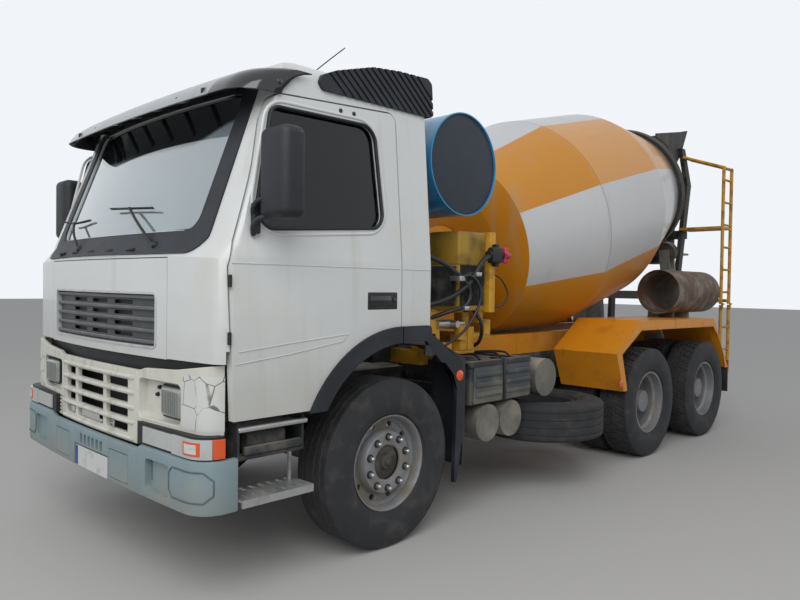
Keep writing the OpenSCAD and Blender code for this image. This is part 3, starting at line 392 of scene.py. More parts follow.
def glass_of(name, tint, most_rough):
    """Tinted glass with patches of dust film, as its shader."""
    s = Shader(name)
    s.shader.inputs["Base Color"].default_value = (*srgb(tint), 1)
    s.shader.inputs["Transmission Weight"].default_value = 1.0
    s.shader.inputs["IOR"].default_value = GLASS_IOR
    s.put(s.shader.inputs["Roughness"], s.span(s.noise(6.0), 0.4, 0.9, 0.0, most_rough))
    return s


def screen_glass():
    """Clear glass with a dark band along its top edge."""
    s = glass_of("screen_glass", "#a9b8bb", 0.05)
    s.shader.inputs["Transmission Weight"].default_value = 0.62
    s.shader.inputs["Coat Weight"].default_value = 1.0
    s.shader.inputs["Coat IOR"].default_value = 1.9
    across = s.math("ABSOLUTE", s.axis("Y"))
    edge = s.math("MULTIPLY_ADD", s.span(across, 0.55, 0.93), 0.10, 2.40)
    band = s.span(s.math("SUBTRACT", s.axis("Z"), edge), -0.008, 0.03)
    s.put(s.shader.inputs["Base Color"], s.mix(band, srgb("#b7c6cb"), srgb("#1d2226")))
    return s


finishes = {}
for slot_name, row in FINISHES.items():
    finishes[slot_name] = finish_of(slot_name, *row)
finishes["drum_paint"] = drum_paint()
finishes["glass"] = glass_of("glass", "#7d8f93", 0.12).material
finishes["screen_glass"] = screen_glass().material
finishes["side_glass"] = glass_of("side_glass", "#46555f", 0.06).material
finishes["lamp"] = glass_of("lamp", "#dcd8cc", 0.3).material

slot_of = {row["node"]: row["material_slot"] for row in frame["record"]["subparts"]}
for name, node in nodes.items():
    node.data.materials.clear()
    node.data.materials.append(finishes[slot_of[name]])


# making pieces


def dress(piece, body, slot, *replaced, finish=None, sharp=35.0):
    """Finish a piece, let it ride on its body and hide the nodes it stands for; the slot gives the finish unless
    another is named.
    """
    mesh = piece.data
    mesh.materials.clear()
    mesh.materials.append(finishes[finish or slot])
    if isinstance(mesh, bpy.types.Mesh):
        mesh.shade_smooth()
        mesh.set_sharp_from_angle(angle=math.radians(sharp))
    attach(piece, body)
    if replaced:
        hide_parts(*replaced)
    return piece


def mesh_piece(name, verts, faces):
    mesh = bpy.data.meshes.new(name)
    mesh.from_pydata(verts, [], faces)
    mesh.validate()
    piece = bpy.data.objects.new(name, mesh)
    bpy.context.scene.collection.objects.link(piece)
    return piece


def outward(piece):
    work = bmesh.new()
    work.from_mesh(piece.data)
    bmesh.ops.remove_doubles(work, verts=work.verts, dist=1e-6)
    bmesh.ops.recalc_face_normals(work, faces=work.faces)
    work.to_mesh(piece.data)
    work.free()
    return piece


def joined(name, parts):
    """One mesh piece from lists of (vertices, faces)."""
    verts, faces = [], []
    for part_verts, part_faces in parts:
        faces += [tuple(i + len(verts) for i in face) for face in part_faces]
        verts += part_verts
    return outward(mesh_piece(name, verts, faces))


def axes_of(direction):
    """Two directions square to the given one."""
    along = Vector(direction).normalized()
    side = along.cross(Vector((0, 0, 1)) if abs(along.z) < 0.9 else Vector((1, 0, 0))).normalized()
    return along, side, along.cross(side)


def revolved(profile, centre, direction, turns=96):
    """A turned solid: closed profile of (radius, offset along the axis)."""
    along, side, over = axes_of(direction)
    verts, faces = [], []
    count = len(profile)
    for i in range(turns):
        angle = 2 * math.pi * i / turns
        spoke = side * math.cos(angle) + over * math.sin(angle)
        verts += [Vector(centre) + spoke * radius + along * offset for radius, offset in profile]
    for i in range(turns):
        here, there = i * count, (i + 1) % turns * count
        for j in range(count):
            k = (j + 1) % count
            faces.append((here + j, here + k, there + k, there + j))
    return verts, faces


def rounded_block(low, high, radius, steps=3):
    """A block with rounded edges."""
    work = bmesh.new()
    low, high = Vector(low), Vector(high)
    bmesh.ops.create_cube(work, size=1.0)
    for vert in work.verts:
        vert.co = Vector((low[i] + (high[i] - low[i]) * (vert.co[i] + 0.5) for i in range(3)))
    bmesh.ops.bevel(work, geom=list(work.edges), offset=radius, segments=steps, profile=0.5, affect="EDGES")
    work.verts.ensure_lookup_table()
    verts = [vert.co.copy() for vert in work.verts]
    faces = [tuple(vert.index for vert in face.verts) for face in work.faces]
    work.free()
    return verts, faces


TUBE_SIDES = 12
CURVE_STEPS = 6


def rounded_path(points):
    """Catmull-Rom curve through the points."""
    count = len(points)
    path = []
    for i in range(count - 1):
        a, b, c, d = (points[min(max(i + k - 1, 0), count - 1)] for k in range(4))
        for k in range(CURVE_STEPS):
            t = k / CURVE_STEPS
            path.append(0.5 * (2 * b + (c - a) * t + (2 * a - 5 * b + 4 * c - d) * t * t
                               + (3 * b - a - 3 * c + d) * t * t * t))
    return path + [points[-1]]


def swept(points, section, closed=False):
    """A section of (u, v) points carried along a line."""
    count, size = len(points), len(section)
    verts, faces = [], []
    v = None
    for i, point in enumerate(points):
        before = points[i - 1] if closed or i else points[0]
        after = points[(i + 1) % count] if closed or i < count - 1 else points[-1]
        tangent = (after - before).normalized()
        if v is None:
            v = Vector((0, 0, 1)) if abs(tangent.z) < 0.9 else Vector((1, 0, 0))
        v = (v - tangent * tangent.dot(v)).normalized()
        u = tangent.cross(v)
        verts += [point + u * a + v * b for a, b in section]
    for i in range(count if closed else count - 1):
        here, there = i * size, (i + 1) % count * size
        for j in range(size):
            k = (j + 1) % size
            faces.append((here + j, here + k, there + k, there + j))
    if not closed:
        faces += [tuple(range(size)), tuple(range((count - 1) * size, count * size))[::-1]]
    return verts, faces


def combine(piece, operation, *others):
    """Boolean of a temporary solid with others, which are used up."""
    for other in others:
        modifier = piece.modifiers.new("combine", "BOOLEAN")
        modifier.object = other
        modifier.operation = operation
        modifier.solver = "EXACT"
        graph = bpy.context.evaluated_depsgraph_get()
        result = bpy.data.meshes.new_from_object(piece.evaluated_get(graph))
        piece.modifiers.clear()
        piece.data = result
        bpy.data.objects.remove(other)
    return piece


def take(piece, *others):
    return combine(piece, "DIFFERENCE", *others)


def keep(piece, *others):
    return combine(piece, "INTERSECT", *others)


def add(piece, *others):
    return combine(piece, "UNION", *others)


# wheels

TYRE_R = 0.526
TYRE_W = 0.312
RIM_R = 0.286
TREAD_HALF = 0.36 * TYRE_W
SHOULDER = ((TYRE_R - 0.003, 0.400 * TYRE_W), (TYRE_R - 0.012, 0.428 * TYRE_W),
            (TYRE_R - 0.026, 0.452 * TYRE_W), (TYRE_R - 0.034, 0.452 * TYRE_W),
            (TYRE_R - 0.040, 0.462 * TYRE_W), (TYRE_R - 0.070, 0.485 * TYRE_W),
            (TYRE_R - 0.110, 0.498 * TYRE_W), (RIM_R + 0.090, 0.500 * TYRE_W),
            (RIM_R + 0.060, 0.480 * TYRE_W), (RIM_R + 0.034, 0.440 * TYRE_W),
            (RIM_R + 0.028, 0.436 * TYRE_W), (RIM_R + 0.022, 0.400 * TYRE_W),
            (RIM_R + 0.013, 0.5 * TYRE_W - 0.045), (RIM_R + 0.001, 0.5 * TYRE_W - 0.053))
RIB_GROOVES = (-0.078, -0.026, 0.026, 0.078)
RIB_DEPTH = 0.012
RIB_WAVES = 44
BLOCK_PITCHES = 40
BLOCK_DEPTH = 0.015
RIB_WAVE = 0.0045
BLOCK_WAVE = 0.006
TREAD_CROWN = 0.004
BLOCK_SLANT = 0.55


def rib_columns():
    """Across the tread of a front tyre: place, how far it waves, depth."""
    columns = [(-TREAD_HALF, 0, 0.0)]
    for groove in RIB_GROOVES:
        columns += [(groove - 0.005, 1, 0.0), (groove - 0.0035, 1, RIB_DEPTH),
                    (groove + 0.0035, 1, RIB_DEPTH), (groove + 0.005, 1, 0.0)]
    return columns + [(TREAD_HALF, 0, 0.0)]


def block_columns():
    """Across the tread of a drive tyre."""
    columns = []
    edges = (-TREAD_HALF, -0.066, -0.024, 0.024, 0.066, TREAD_HALF)
    for i, edge in enumerate(edges):
        if i in (0, len(edges) - 1):
            columns.append((edge, 0, 0.0))
        else:
            columns += [(edge - 0.0045, 1, 0.0), (edge - 0.003, 1, BLOCK_DEPTH),
                        (edge + 0.003, 1, BLOCK_DEPTH), (edge + 0.0045, 1, 0.0)]
    return columns


def tyre(centre, direction, blocks):
    """A tyre with its tread, as (vertices, faces)."""
    along, side, over = axes_of(direction)
    columns = block_columns() if blocks else rib_columns()
    rows = []
    if blocks:
        for pitch in range(BLOCK_PITCHES):
            rows += [(pitch + f, d) for f, d in ((0.0, 0.0), (0.03, BLOCK_DEPTH), (0.2, BLOCK_DEPTH),
                                                 (0.23, 0.0), (0.62, 0.0))]
        per_turn = BLOCK_PITCHES
    else:
        rows = [(i / 4, 0.0) for i in range(RIB_WAVES * 4)]
        per_turn = RIB_WAVES
    verts, faces = [], []
    count = len(columns) + 2 * len(SHOULDER)
    for place, depth in rows:
        base = 2 * math.pi * place / per_turn
        wave = (BLOCK_WAVE if blocks else RIB_WAVE) * math.sin(2 * math.pi * place)
        line = [(radius, -offset, 0.0) for radius, offset in SHOULDER[::-1]]
        for column, waves, groove in columns:
            offset = column + waves * wave
            crown = TREAD_CROWN * (offset / TREAD_HALF) ** 2
            slant = abs(offset) / TREAD_HALF * BLOCK_SLANT if blocks else 0.0
            half_pitch = 0.5 if blocks and offset > 0 else 0.0
            lean = 2 * math.pi * (slant + half_pitch) / per_turn
            line.append((TYRE_R - crown - max(depth, groove), offset, lean))
        line += [(radius, offset, 0.0) for radius, offset in SHOULDER]
        if blocks and depth:
            for i in (len(SHOULDER) - 1, count - len(SHOULDER)):
                radius, offset, lean = line[i]
                line[i] = (radius - 0.008, offset, lean)
        for radius, offset, lean in line:
            angle = base + lean
            spoke = side * math.cos(angle) + over * math.sin(angle)
            verts.append(Vector(centre) + spoke * radius + along * offset)
    for i in range(len(rows)):
        here, there = i * count, (i + 1) % len(rows) * count
        for j in range(count - 1):
            faces.append((here + j, here + j + 1, there + j + 1, there + j))
        faces.append((here + count - 1, here, there, there + count - 1))
    return verts, faces


FRONT_Y = 1.028
REAR_YS = (1.096, 0.746)
REAR_XS = (-3.49, -4.86)
AXLE_Z = 0.526
for tag, sign in (("left", 1), ("right", -1)):
    out = (0, sign, 0)
    dress(joined(f"tread_front_{tag}", [tyre(at(0, sign * FRONT_Y, AXLE_Z), out, False)]),
          f"wheel_front_{tag}", "tyre", f"tyre_front_{tag}")
    for number, x in enumerate(REAR_XS, 1):
        dress(joined(f"tread_rear_{number}_{tag}",
                     [tyre(at(x, sign * y, AXLE_Z), out, True) for y in REAR_YS]),
              f"wheels_rear_{number}_{tag}", "tyre", f"tyres_rear_{number}_{tag}")

RIM = ((0.298, -0.124), (0.298, -0.114), (0.286, -0.106), (0.280, -0.060), (0.260, -0.040), (0.260, 0.040),
       (0.280, 0.060), (0.286, 0.104), (0.291, 0.109), (0.297, 0.112), (0.2995, 0.118), (0.297, 0.124),
       (0.291, 0.124), (0.284, 0.116), (0.279, 0.104), (0.272, 0.060), (0.252, 0.042), (0.250, -0.040),
       (0.270, -0.060), (0.278, -0.124))
FRONT_DISC = ((0.253, 0.039), (0.215, 0.036), (0.206, 0.042), (0.199, 0.062), (0.192, 0.098), (0.187, 0.104),
              (0.180, 0.105), (0.116, 0.105), (0.110, 0.102), (0.108, 0.090), (0.178, 0.090), (0.190, 0.030),
              (0.206, 0.022), (0.253, 0.024))
FRONT_HUB = ((0.001, -0.120), (0.150, -0.120), (0.150, -0.060), (0.106, -0.050), (0.106, 0.070),
             (0.104, 0.080), (0.070, 0.084), (0.048, 0.086), (0.045, 0.100), (0.040, 0.104),
             (0.022, 0.106), (0.019, 0.116), (0.015, 0.119), (0.001, 0.120))
NUT = ((0.0005, 0.0), (0.0145, 0.0), (0.0145, 0.024), (0.0125, 0.032), (0.008, 0.037), (0.0005, 0.039))
NUT_RING = ((0.014, 0.0), (0.023, 0.0), (0.0245, 0.004), (0.023, 0.008), (0.0165, 0.009), (0.014, 0.009))
WHEEL_BOLTS = 10
NUT_CIRCLE = 0.160
DISC_FACE = 0.1045


def round_the_wheel(centre, direction, radius, profile, offset, start=18.0, turns=20):
    """The same turned solid, once for each wheel bolt."""
    along, side, over = axes_of(direction)
    parts = []
    for i in range(WHEEL_BOLTS):
        angle = math.radians(start + 360 / WHEEL_BOLTS * i)
        place = Vector(centre) + (side * math.cos(angle) + over * math.sin(angle)) * radius + along * offset
        parts.append(revolved(profile, place, direction, turns))
    return parts


for tag, sign in (("left", 1), ("right", -1)):
    out = (0, sign, 0)
    middle = at(0, sign * FRONT_Y, AXLE_Z)
    body = f"wheel_front_{tag}"
    disc = joined(f"disc_front_{tag}", [revolved(FRONT_DISC, middle, out, 120)])
    hole = ((0.0005, -0.06), (0.0215, -0.06), (0.0215, 0.02), (0.0005, 0.02))
    take(disc, joined("holes", round_the_wheel(middle, out, 0.232, hole, 0.04, start=0.0, turns=24)))
    dress(disc, body, "rim", f"rim_front_{tag}")
    dress(joined(f"rim_ring_{tag}", [revolved(RIM, middle, out, 120)]), body, "rim")
    dress(joined(f"hub_front_{tag}", [revolved(FRONT_HUB, middle, out, 64)]), body, "axle")
    dress(joined(f"nuts_front_{tag}", round_the_wheel(middle, out, NUT_CIRCLE, NUT, DISC_FACE)), body, "rim",
          finish="chrome")
    dress(joined(f"nut_rings_{tag}", round_the_wheel(middle, out, NUT_CIRCLE, NUT_RING, DISC_FACE)), body,
          "rim", finish="rubber")


# solids for the cab


def solid(verts, faces):
    """A temporary closed mesh in the truck's own frame, ahead of the front axle."""
    piece = mesh_piece("work", [at(*vert) for vert in verts], faces)
    return outward(piece)


def prism(axis, outline, low, high):
    """A prism along one axis; the outline is given in the two other axes."""
    def corner(point, along):
        place = list(point)
        place.insert("xyz".index(axis), along)
        return place
    count = len(outline)
    verts = [corner(point, low) for point in outline] + [corner(point, high) for point in outline]
    faces = [(i, (i + 1) % count, (i + 1) % count + count, i + count) for i in range(count)]
    faces += [tuple(range(count))[::-1], tuple(range(count, 2 * count))]
    return solid(verts, faces)


def named(piece, name):
    piece.name = name
    piece.data.name = name
    return piece


def copy_of(piece):
    twin = piece.copy()
    twin.data = piece.data.copy()
    bpy.context.scene.collection.objects.link(twin)
    return twin


def mirrored(piece, name):
    """The same piece on the other side of the truck."""
    twin = copy_of(piece)
    for vert in twin.data.vertices:
        vert.co.y = -vert.co.y
    twin.data.flip_normals()
    return named(twin, name)


def soft(points, radii, inset=0.0, steps=6):
    """An anticlockwise outline moved in by inset, with its corners rounded."""
    count = len(points)
    outline = []
    for i in range(count):
        before, here, after = (Vector(points[(i + k) % count]) for k in (-1, 0, 1))
        first, second = (here - before).normalized(), (after - here).normalized()
        in_first, in_second = Vector((-first.y, first.x)), Vector((-second.y, second.x))
        bisect = (in_first + in_second) / (1 + in_first.dot(in_second))
        radius = max(radii[i] - inset, 0.0)
        if radii[i] == 0 or radius == 0:
            outline.append(here + bisect * inset)
            continue
        centre = here + bisect * (radius + inset)
        start = math.atan2(-in_first.y, -in_first.x)
        turn = math.atan2(first.x * second.y - first.y * second.x, first.dot(second))
        outline += [centre + radius * Vector((math.cos(start + turn * k / steps),
                                              math.sin(start + turn * k / steps)))
                    for k in range(steps + 1)]
    return [tuple(point) for point in outline]


# the cab's form

CLEAN = 0.0003  # keeps the faces of two solids from lying in one plane
CAB_Y = 1.245
CAB_SHARP = 28
CAB_TOP = (1.158, 2.83)
CAB_BACK = -0.25
CAB_FLOOR = 1.295
CAB_WALL = 0.045
DOOR_T = 0.048
BELT_Z = 1.75
ROOF_Z = 2.88
NOSE_X = 1.29
NOSE_CROWN = 0.06
NOSE_ARC_R = 7.55
NOSE_R = 0.09
COWL_FOOT = (NOSE_X, 1.76)
SCREEN_FOOT = (NOSE_X - 0.075, 1.86)
SCREEN_TOP = (SCREEN_FOOT[0] - 0.352 * 1.4, SCREEN_FOOT[1] + 0.936 * 1.4)
CAB_FRONT = [(-CAB_Y, 0.85), (CAB_Y, 0.85), (CAB_Y, BELT_Z), CAB_TOP, (0.7, ROOF_Z), (-0.7, ROOF_Z),
             (-CAB_TOP[0], CAB_TOP[1]), (-CAB_Y, BELT_Z)]
CAB_FRONT_R = [0, 0, 0.5, 0.11, 0.6, 0.6, 0.11, 0.5]


def front_line(depth):
    """The nose seen from the side, moved back by depth: upright, cowl, windscreen."""
    line = [Vector((NOSE_X, 0.85)), Vector(COWL_FOOT), Vector(SCREEN_FOOT), Vector(SCREEN_TOP)]
    moved = []
    for i, point in enumerate(line):
        runs = [(line[k + 1] - line[k]).normalized() for k in (i - 1, i) if 0 <= k < len(line) - 1]
        backs = [Vector((-run.y, run.x)) for run in runs]
        back = (backs[0] + backs[-1]) / (1 + backs[0].dot(backs[-1]))
        moved.append(point + back * depth)
    return moved


def nose(inset, depth=0.5):
    """The nose as one solid: the plan's crown and corners carried along the front line."""
    arc_x = NOSE_X + NOSE_CROWN - NOSE_ARC_R
    corner_y = CAB_Y - NOSE_R
    corner_x = arc_x + math.sqrt((NOSE_ARC_R - NOSE_R) ** 2 - corner_y ** 2)
    lean = math.asin(corner_y / (NOSE_ARC_R - NOSE_R))
    plan = [(NOSE_X - depth, CAB_Y - inset)]
    for k in range(9):
        angle = math.radians(90) + (lean - math.radians(90)) * k / 8
        plan.append((corner_x + (NOSE_R - inset) * math.cos(angle), corner_y
                     + (NOSE_R - inset) * math.sin(angle)))
    for k in range(1, 24):
        angle = lean * (1 - k / 12)
        plan.append((arc_x + (NOSE_ARC_R - inset) * math.cos(angle), (NOSE_ARC_R - inset) * math.sin(angle)))
    for k in range(9):
        angle = -lean + (lean - math.radians(90)) * k / 8
        plan.append((corner_x + (NOSE_R - inset) * math.cos(angle), -corner_y
                     + (NOSE_R - inset) * math.sin(angle)))
    plan.append((NOSE_X - depth, inset - CAB_Y))
    verts, faces = [], []
    for x, y in plan:
        verts += [(point.x, y, point.y) for point in front_line(NOSE_X - x)]
    count = len(plan)
    for i in range(count):
        k = (i + 1) % count
        faces += [(4 * i + j, 4 * k + j, 4 * k + j + 1, 4 * i + j + 1) for j in range(3)]
    faces += [tuple(4 * i for i in range(count))[::-1], tuple(4 * i + 3 for i in range(count))]
    return solid(verts, faces)


def cab_form(inset, low):
    """The cab's outer form moved in by inset, above the height low."""
    rear = [(point.x, point.y) for point in front_line(0.35)]
    back = CAB_BACK + inset
    body = prism("y", [(back, low - 0.01)] + rear + [(back, 3.1)], -1.3, 1.3)
    form = add(nose(inset), body)
    front = prism("x", soft(CAB_FRONT, CAB_FRONT_R, inset + CLEAN), -0.4, 1.5)
    side = soft([(back, low), (1.4, low), (1.4, 1.8), (1.06, 2.74), (0.72, 2.83 - inset),
                 (0.3, ROOF_Z - inset), (back, ROOF_Z - inset)], [0, 0, 0, 0, 0.6, 0.9, 0.05])
    return keep(form, front, prism("y", side, -1.3, 1.3))


DOOR_LINE = [(1.172, 0.948), (1.204, 1.71), (0.905, 2.618), (0.02, 2.67), (0.01, 0.948)]
DOOR_LINE_R = [0.0, 0.06, 0.06, 0.05, 0.02]
ARCH = (0.0, 0.59)
ARCH_R = 0.79
WINDOW = [(1.062, 1.905), (0.926, 2.546), (0.206, 2.558), (0.162, 1.97)]
WINDOW_R = [0.09, 0.06, 0.09, 0.08]
SCREEN = [(-0.93, 1.905), (0.93, 1.905), (0.925, 2.665), (-0.925, 2.665)]
SCREEN_R = [0.08, 0.08, 0.05, 0.05]
REAR_WINDOW = [(-0.6, 2.0), (0.6, 2.0), (0.6, 2.45), (-0.6, 2.45)]
REAR_WINDOW_R = [0.06] * 4
HATCH_Y = 0.81
HATCH_Z = (1.228, 1.755)
GRILLE = [(-0.72, 1.275), (0.72, 1.275), (0.72, 1.575), (-0.72, 1.575)]
GRILLE_R = 0.04


def disc_outline(centre, radius, turns=96):
    return [(centre[0] + radius * math.cos(2 * math.pi * k / turns),
             centre[1] + radius * math.sin(2 * math.pi * k / turns)) for k in range(turns)]


def rectangle(low, high):
    return [(low[0], low[1]), (high[0], low[1]), (high[0], high[1]), (low[0], high[1])]


def grown(outline, radii, by):
    return soft(outline, [r + by for r in radii], -by)


def front_cut(outline, low=1.0, high=1.5):
    """A prism through the truck's front."""
    return prism("x", outline, low, high)


def side_cut(outline, low=1.1, high=1.4):
    """A prism through the left side."""
    return prism("y", outline, low, high)


def cab_pieces():
    """The cab's shell, the left door's skin and the front hatch."""
    outer = cab_form(0.0, CAB_FLOOR)
    low_outer = cab_form(0.0, 0.94)
    door_skin = take(copy_of(low_outer), cab_form(DOOR_T, 0.93))
    door_form = prism("y", soft(DOOR_LINE, DOOR_LINE_R), 1.1, 1.3)
    door_form = take(door_form, prism("y", disc_outline(ARCH, ARCH_R), 1.0, 1.4))
    door = keep(door_skin, door_form)
    door = take(door, prism("y", soft(WINDOW, WINDOW_R), 1.0, 1.4))
    door = take(door, prism("y", soft(rectangle((0.05, 1.486), (0.29, 1.586)), [0.03] * 4), 1.22, 1.3))
    skirt = keep(take(nose(0.0), nose(CAB_WALL)),
                 prism("x", rectangle((-1.3, 1.232), (1.3, 1.40)), 1.212, 1.5))
    shell = add(take(outer, cab_form(CAB_WALL, CAB_FLOOR + CAB_WALL)), skirt)
    door_gap = grown(DOOR_LINE, DOOR_LINE_R, 0.009)
    hatch_gap = prism("x", rectangle((-HATCH_Y - 0.005, HATCH_Z[0] - 0.005),
                                     (HATCH_Y + 0.005, HATCH_Z[1] + 0.005)), 1.2, 1.5)
    shell = take(shell, prism("y", door_gap, 1.092, 1.4), prism("y", door_gap, -1.4, -1.092), hatch_gap,
                 prism("x", soft(SCREEN, SCREEN_R), 0.6, 1.5),
                 prism("x", soft(REAR_WINDOW, REAR_WINDOW_R), -0.4, 0.0),
                 prism("y", disc_outline(ARCH, ARCH_R), 1.15, 1.4),
                 prism("y", disc_outline(ARCH, ARCH_R), -1.4, -1.15))
    hatch = take(nose(0.0), nose(CAB_WALL))
    hatch = keep(hatch, front_cut(rectangle((-HATCH_Y, HATCH_Z[0]), (HATCH_Y, HATCH_Z[1]))))
    hatch = take(hatch, front_cut(soft(GRILLE, [GRILLE_R] * 4)))
    bpy.data.objects.remove(low_outer)
    return shell, door, hatch


def dress_pair(piece, name, body, slot, *replaced, **looks):
    """Dress a left piece and its mirror image; braces in a name stand for the side."""
    other = mirrored(piece, name.format("right"))
    for tag, part in (("left", piece), ("right", other)):
        nodes_there = [node.format(tag) for node in replaced]
        dress(named(part, name.format(tag)), body.format(tag), slot, *nodes_there, **looks)


def block(low, high, radius=0.006, steps=2):
    """A block with rounded edges, given ahead of the front axle, as (vertices, faces)."""
    return rounded_block(at(*low), at(*high), radius, steps)


def boxes(*rows):
    """Blocks from rows of x, y, z low, x, y, z high and radius and steps where they are given."""
    return [block(row[:3], row[3:6], *row[6:]) for row in rows]


def stub(radius, length, place, axis, turns):
    """A short round bar that starts at a place."""
    return revolved(((0.0005, 0.0), (radius, 0.0), (radius, length), (0.0005, length)), at(*place), axis,
                    turns)


def fit(name, parts, body, slot, *replaced, finish=None, sharp=35.0):
    """Join parts into one piece and dress it."""
    return dress(joined(name, parts), body, slot, *replaced, finish=finish, sharp=sharp)


def pipe(points, radius, smooth=True):
    """A round tube through places ahead of the front axle, as (vertices, faces)."""
    points = [at(*point) for point in points]
    turns = [2 * math.pi * k / TUBE_SIDES for k in range(TUBE_SIDES)]
    return swept(rounded_path(points) if smooth else points,
                 [(radius * math.cos(a), radius * math.sin(a)) for a in turns])


def side_y(z):
    """How far out the cab's side lies at a height."""
    if z < BELT_Z:
        return CAB_Y
    return CAB_Y + (CAB_TOP[0] - CAB_Y) * (z - BELT_Z) / (CAB_TOP[1] - BELT_Z)


def flipped(part):
    """The same part on the right side."""
    verts, faces = part
    return [Vector((v.x, -v.y, v.z)) for v in verts], [face[::-1] for face in faces]


SIDES = (("left", 1, lambda part: part), ("right", -1, flipped))
SEAT = 0.0003
GLASS_T = 0.006


def dark_firewall():
    """The dark wall behind the hatch."""
    wall = take(nose(0.05), nose(0.075))
    wall = keep(wall, front_cut(rectangle((-1.12, 1.10), (1.12, 1.79))))
    dress(named(wall, "firewall"), "chassis", "trim_dark", finish="rubber")


def cab_glazing():
    """Windscreen, rear pane and door panes."""
    screen = keep(take(nose(0.012), nose(0.012 + GLASS_T)),
                  prism("x", grown(SCREEN, SCREEN_R, -SEAT), 0.6, 1.5))
    rear = prism("x", grown(REAR_WINDOW, REAR_WINDOW_R, -SEAT), -0.238, -0.232)
    dress(named(add(screen, rear), "cab_glazing"), "chassis", "glass", "cab_glass", finish="screen_glass")
    pane = prism("x", soft(CAB_FRONT, CAB_FRONT_R, 0.02), -0.1, 1.3)
    pane = take(pane, prism("x", soft(CAB_FRONT, CAB_FRONT_R, 0.02 + GLASS_T), -0.2, 1.4))
    pane = keep(pane, prism("y", grown(WINDOW, WINDOW_R, -SEAT), 1.0, 1.3))
    dress_pair(pane, "door_pane_{}", "door_{}", "glass", "door_glass_{}", finish="side_glass")


SURROUND = [(-1.055, 1.779), (1.055, 1.779), (1.025, 2.70), (-1.025, 2.70)]
SURROUND_R = [0.11, 0.11, 0.04, 0.04]


def surround():
    """The dark band and the seal round the windscreen."""
    band = keep(take(nose(-0.008), nose(-SEAT)), prism("x", soft(SURROUND, SURROUND_R), 0.6, 1.5))
    band = take(band, prism("x", grown(SCREEN, SCREEN_R, 0.004), 0.5, 1.6))
    dress(named(band, "screen_surround"), "chassis", "black_plastic", finish="flare")
    seal = [at(x + 0.006, y, z)
            for x, y, z in ((1.29 - (z - 1.76) * 0.376 - 0.037 + 0.022 * (1 - (y / 0.93) ** 2), y, z)
                            for y, z in grown(SCREEN, SCREEN_R, 0.002))]
    fit("screen_seal", [swept(seal, oval(0.007, 0.006), True)], "chassis", "black_plastic", finish="rubber")


def oval(half_u, half_v, turns=10):
    """A section for swept()."""
    return [(half_u * math.cos(2 * math.pi * k / turns), half_v * math.sin(2 * math.pi * k / turns))
            for k in range(turns)]


def flares():
    """The dark wheel arch edges on doors, cab and mudguards."""
    ring = prism("y", disc_outline(ARCH, ARCH_R - SEAT), 1.205, 1.263)
    ring = take(ring, side_cut(disc_outline(ARCH, 0.69)))
    hollow = take(prism("y", disc_outline(ARCH, ARCH_R - 0.018), 1.18, 1.245),
                  side_cut(disc_outline(ARCH, 0.702)))
    ring = take(ring, hollow)
    ring = keep(ring, side_cut(rectangle((0.012, 0.936), (0.80, 1.5))))
    dress_pair(ring, "flare_{}", "door_{}", "black_plastic", finish="flare")
    rear = prism("y", soft([(-0.25, 1.282), (0.004, 1.276), (0.004, 1.3795), (-0.25, 1.3795)],
                           [0.01, 0.004, 0.004, 0.03]), 1.205, 1.263)
    lip = prism("y", soft([(-0.596, 0.3), (-0.57, 0.3), (-0.587, 0.935), (-0.546, 1.038), (-0.469, 1.118),
                           (-0.42, 1.13), (-0.262, 1.285), (-0.262, 1.36), (-0.52, 1.19), (-0.64, 1.12),
                           (-0.668, 0.93), (-0.650, 0.59)],
                          [0.004, 0.004, 0.1, 0.05, 0.02, 0.02, 0.01, 0.01, 0.03, 0.03, 0.1, 0.02]), 1.168,
                1.196)
    dress_pair(rear, "flare_rear_{}", "chassis", "black_plastic", finish="flare")
    dress_pair(lip, "guard_lip_{}", "chassis", "black_plastic", finish="flare")


VISOR_LINE = ((0.0, 2.618), (-0.020, 2.652), (-0.052, 2.692), (-0.094, 2.726), (-0.146, 2.750),
              (-0.205, 2.764))
VISOR_HALF = 1.195
VISOR_R = 0.19


def visor_curve(inset):
    """The visor in plan, from left to right: place ahead of its lip's corner, and sideways."""
    radius, half = VISOR_R - inset, VISOR_HALF - inset
    curve = [(1.132 - inset - VISOR_R - 0.06, half)]
    curve += [(1.132 - VISOR_R + radius * math.cos(a), VISOR_HALF - VISOR_R + radius * math.sin(a))
              for a in (math.radians(90 - 10 * k) for k in range(9))]
    edge = VISOR_HALF - VISOR_R
    curve += [(1.132 - inset + 0.034 * (1 - (y / edge) ** 2), y)
              for y in (edge * (1 - k / 10) for k in range(1, 20))]
    curve += [(x, -y) for x, y in curve[:10][::-1]]
    return curve


def visor_blade(low, high):
    """The blade between two places across, as (vertices, faces)."""
    outer, inner = visor_curve(0.0), visor_curve(0.006)
    rows = []
    for (x, y), (x2, y2) in zip(outer, inner):
        if low - 1e-6 <= y <= high + 1e-6:
            rows.append([at(x + shift, y, z) for shift, z in VISOR_LINE]
                        + [at(x2 + shift, y2, z - 0.003) for shift, z in VISOR_LINE[::-1]])
    size = len(rows[0])
    verts = [vert for row in rows for vert in row]
    faces = [(i * size + j, i * size + (j + 1) % size, (i + 1) * size + (j + 1) % size, (i + 1) * size + j)
             for i in range(len(rows) - 1) for j in range(size)]
    return verts, faces + [tuple(range(size)), tuple(range((len(rows) - 1) * size, len(rows) * size))[::-1]]


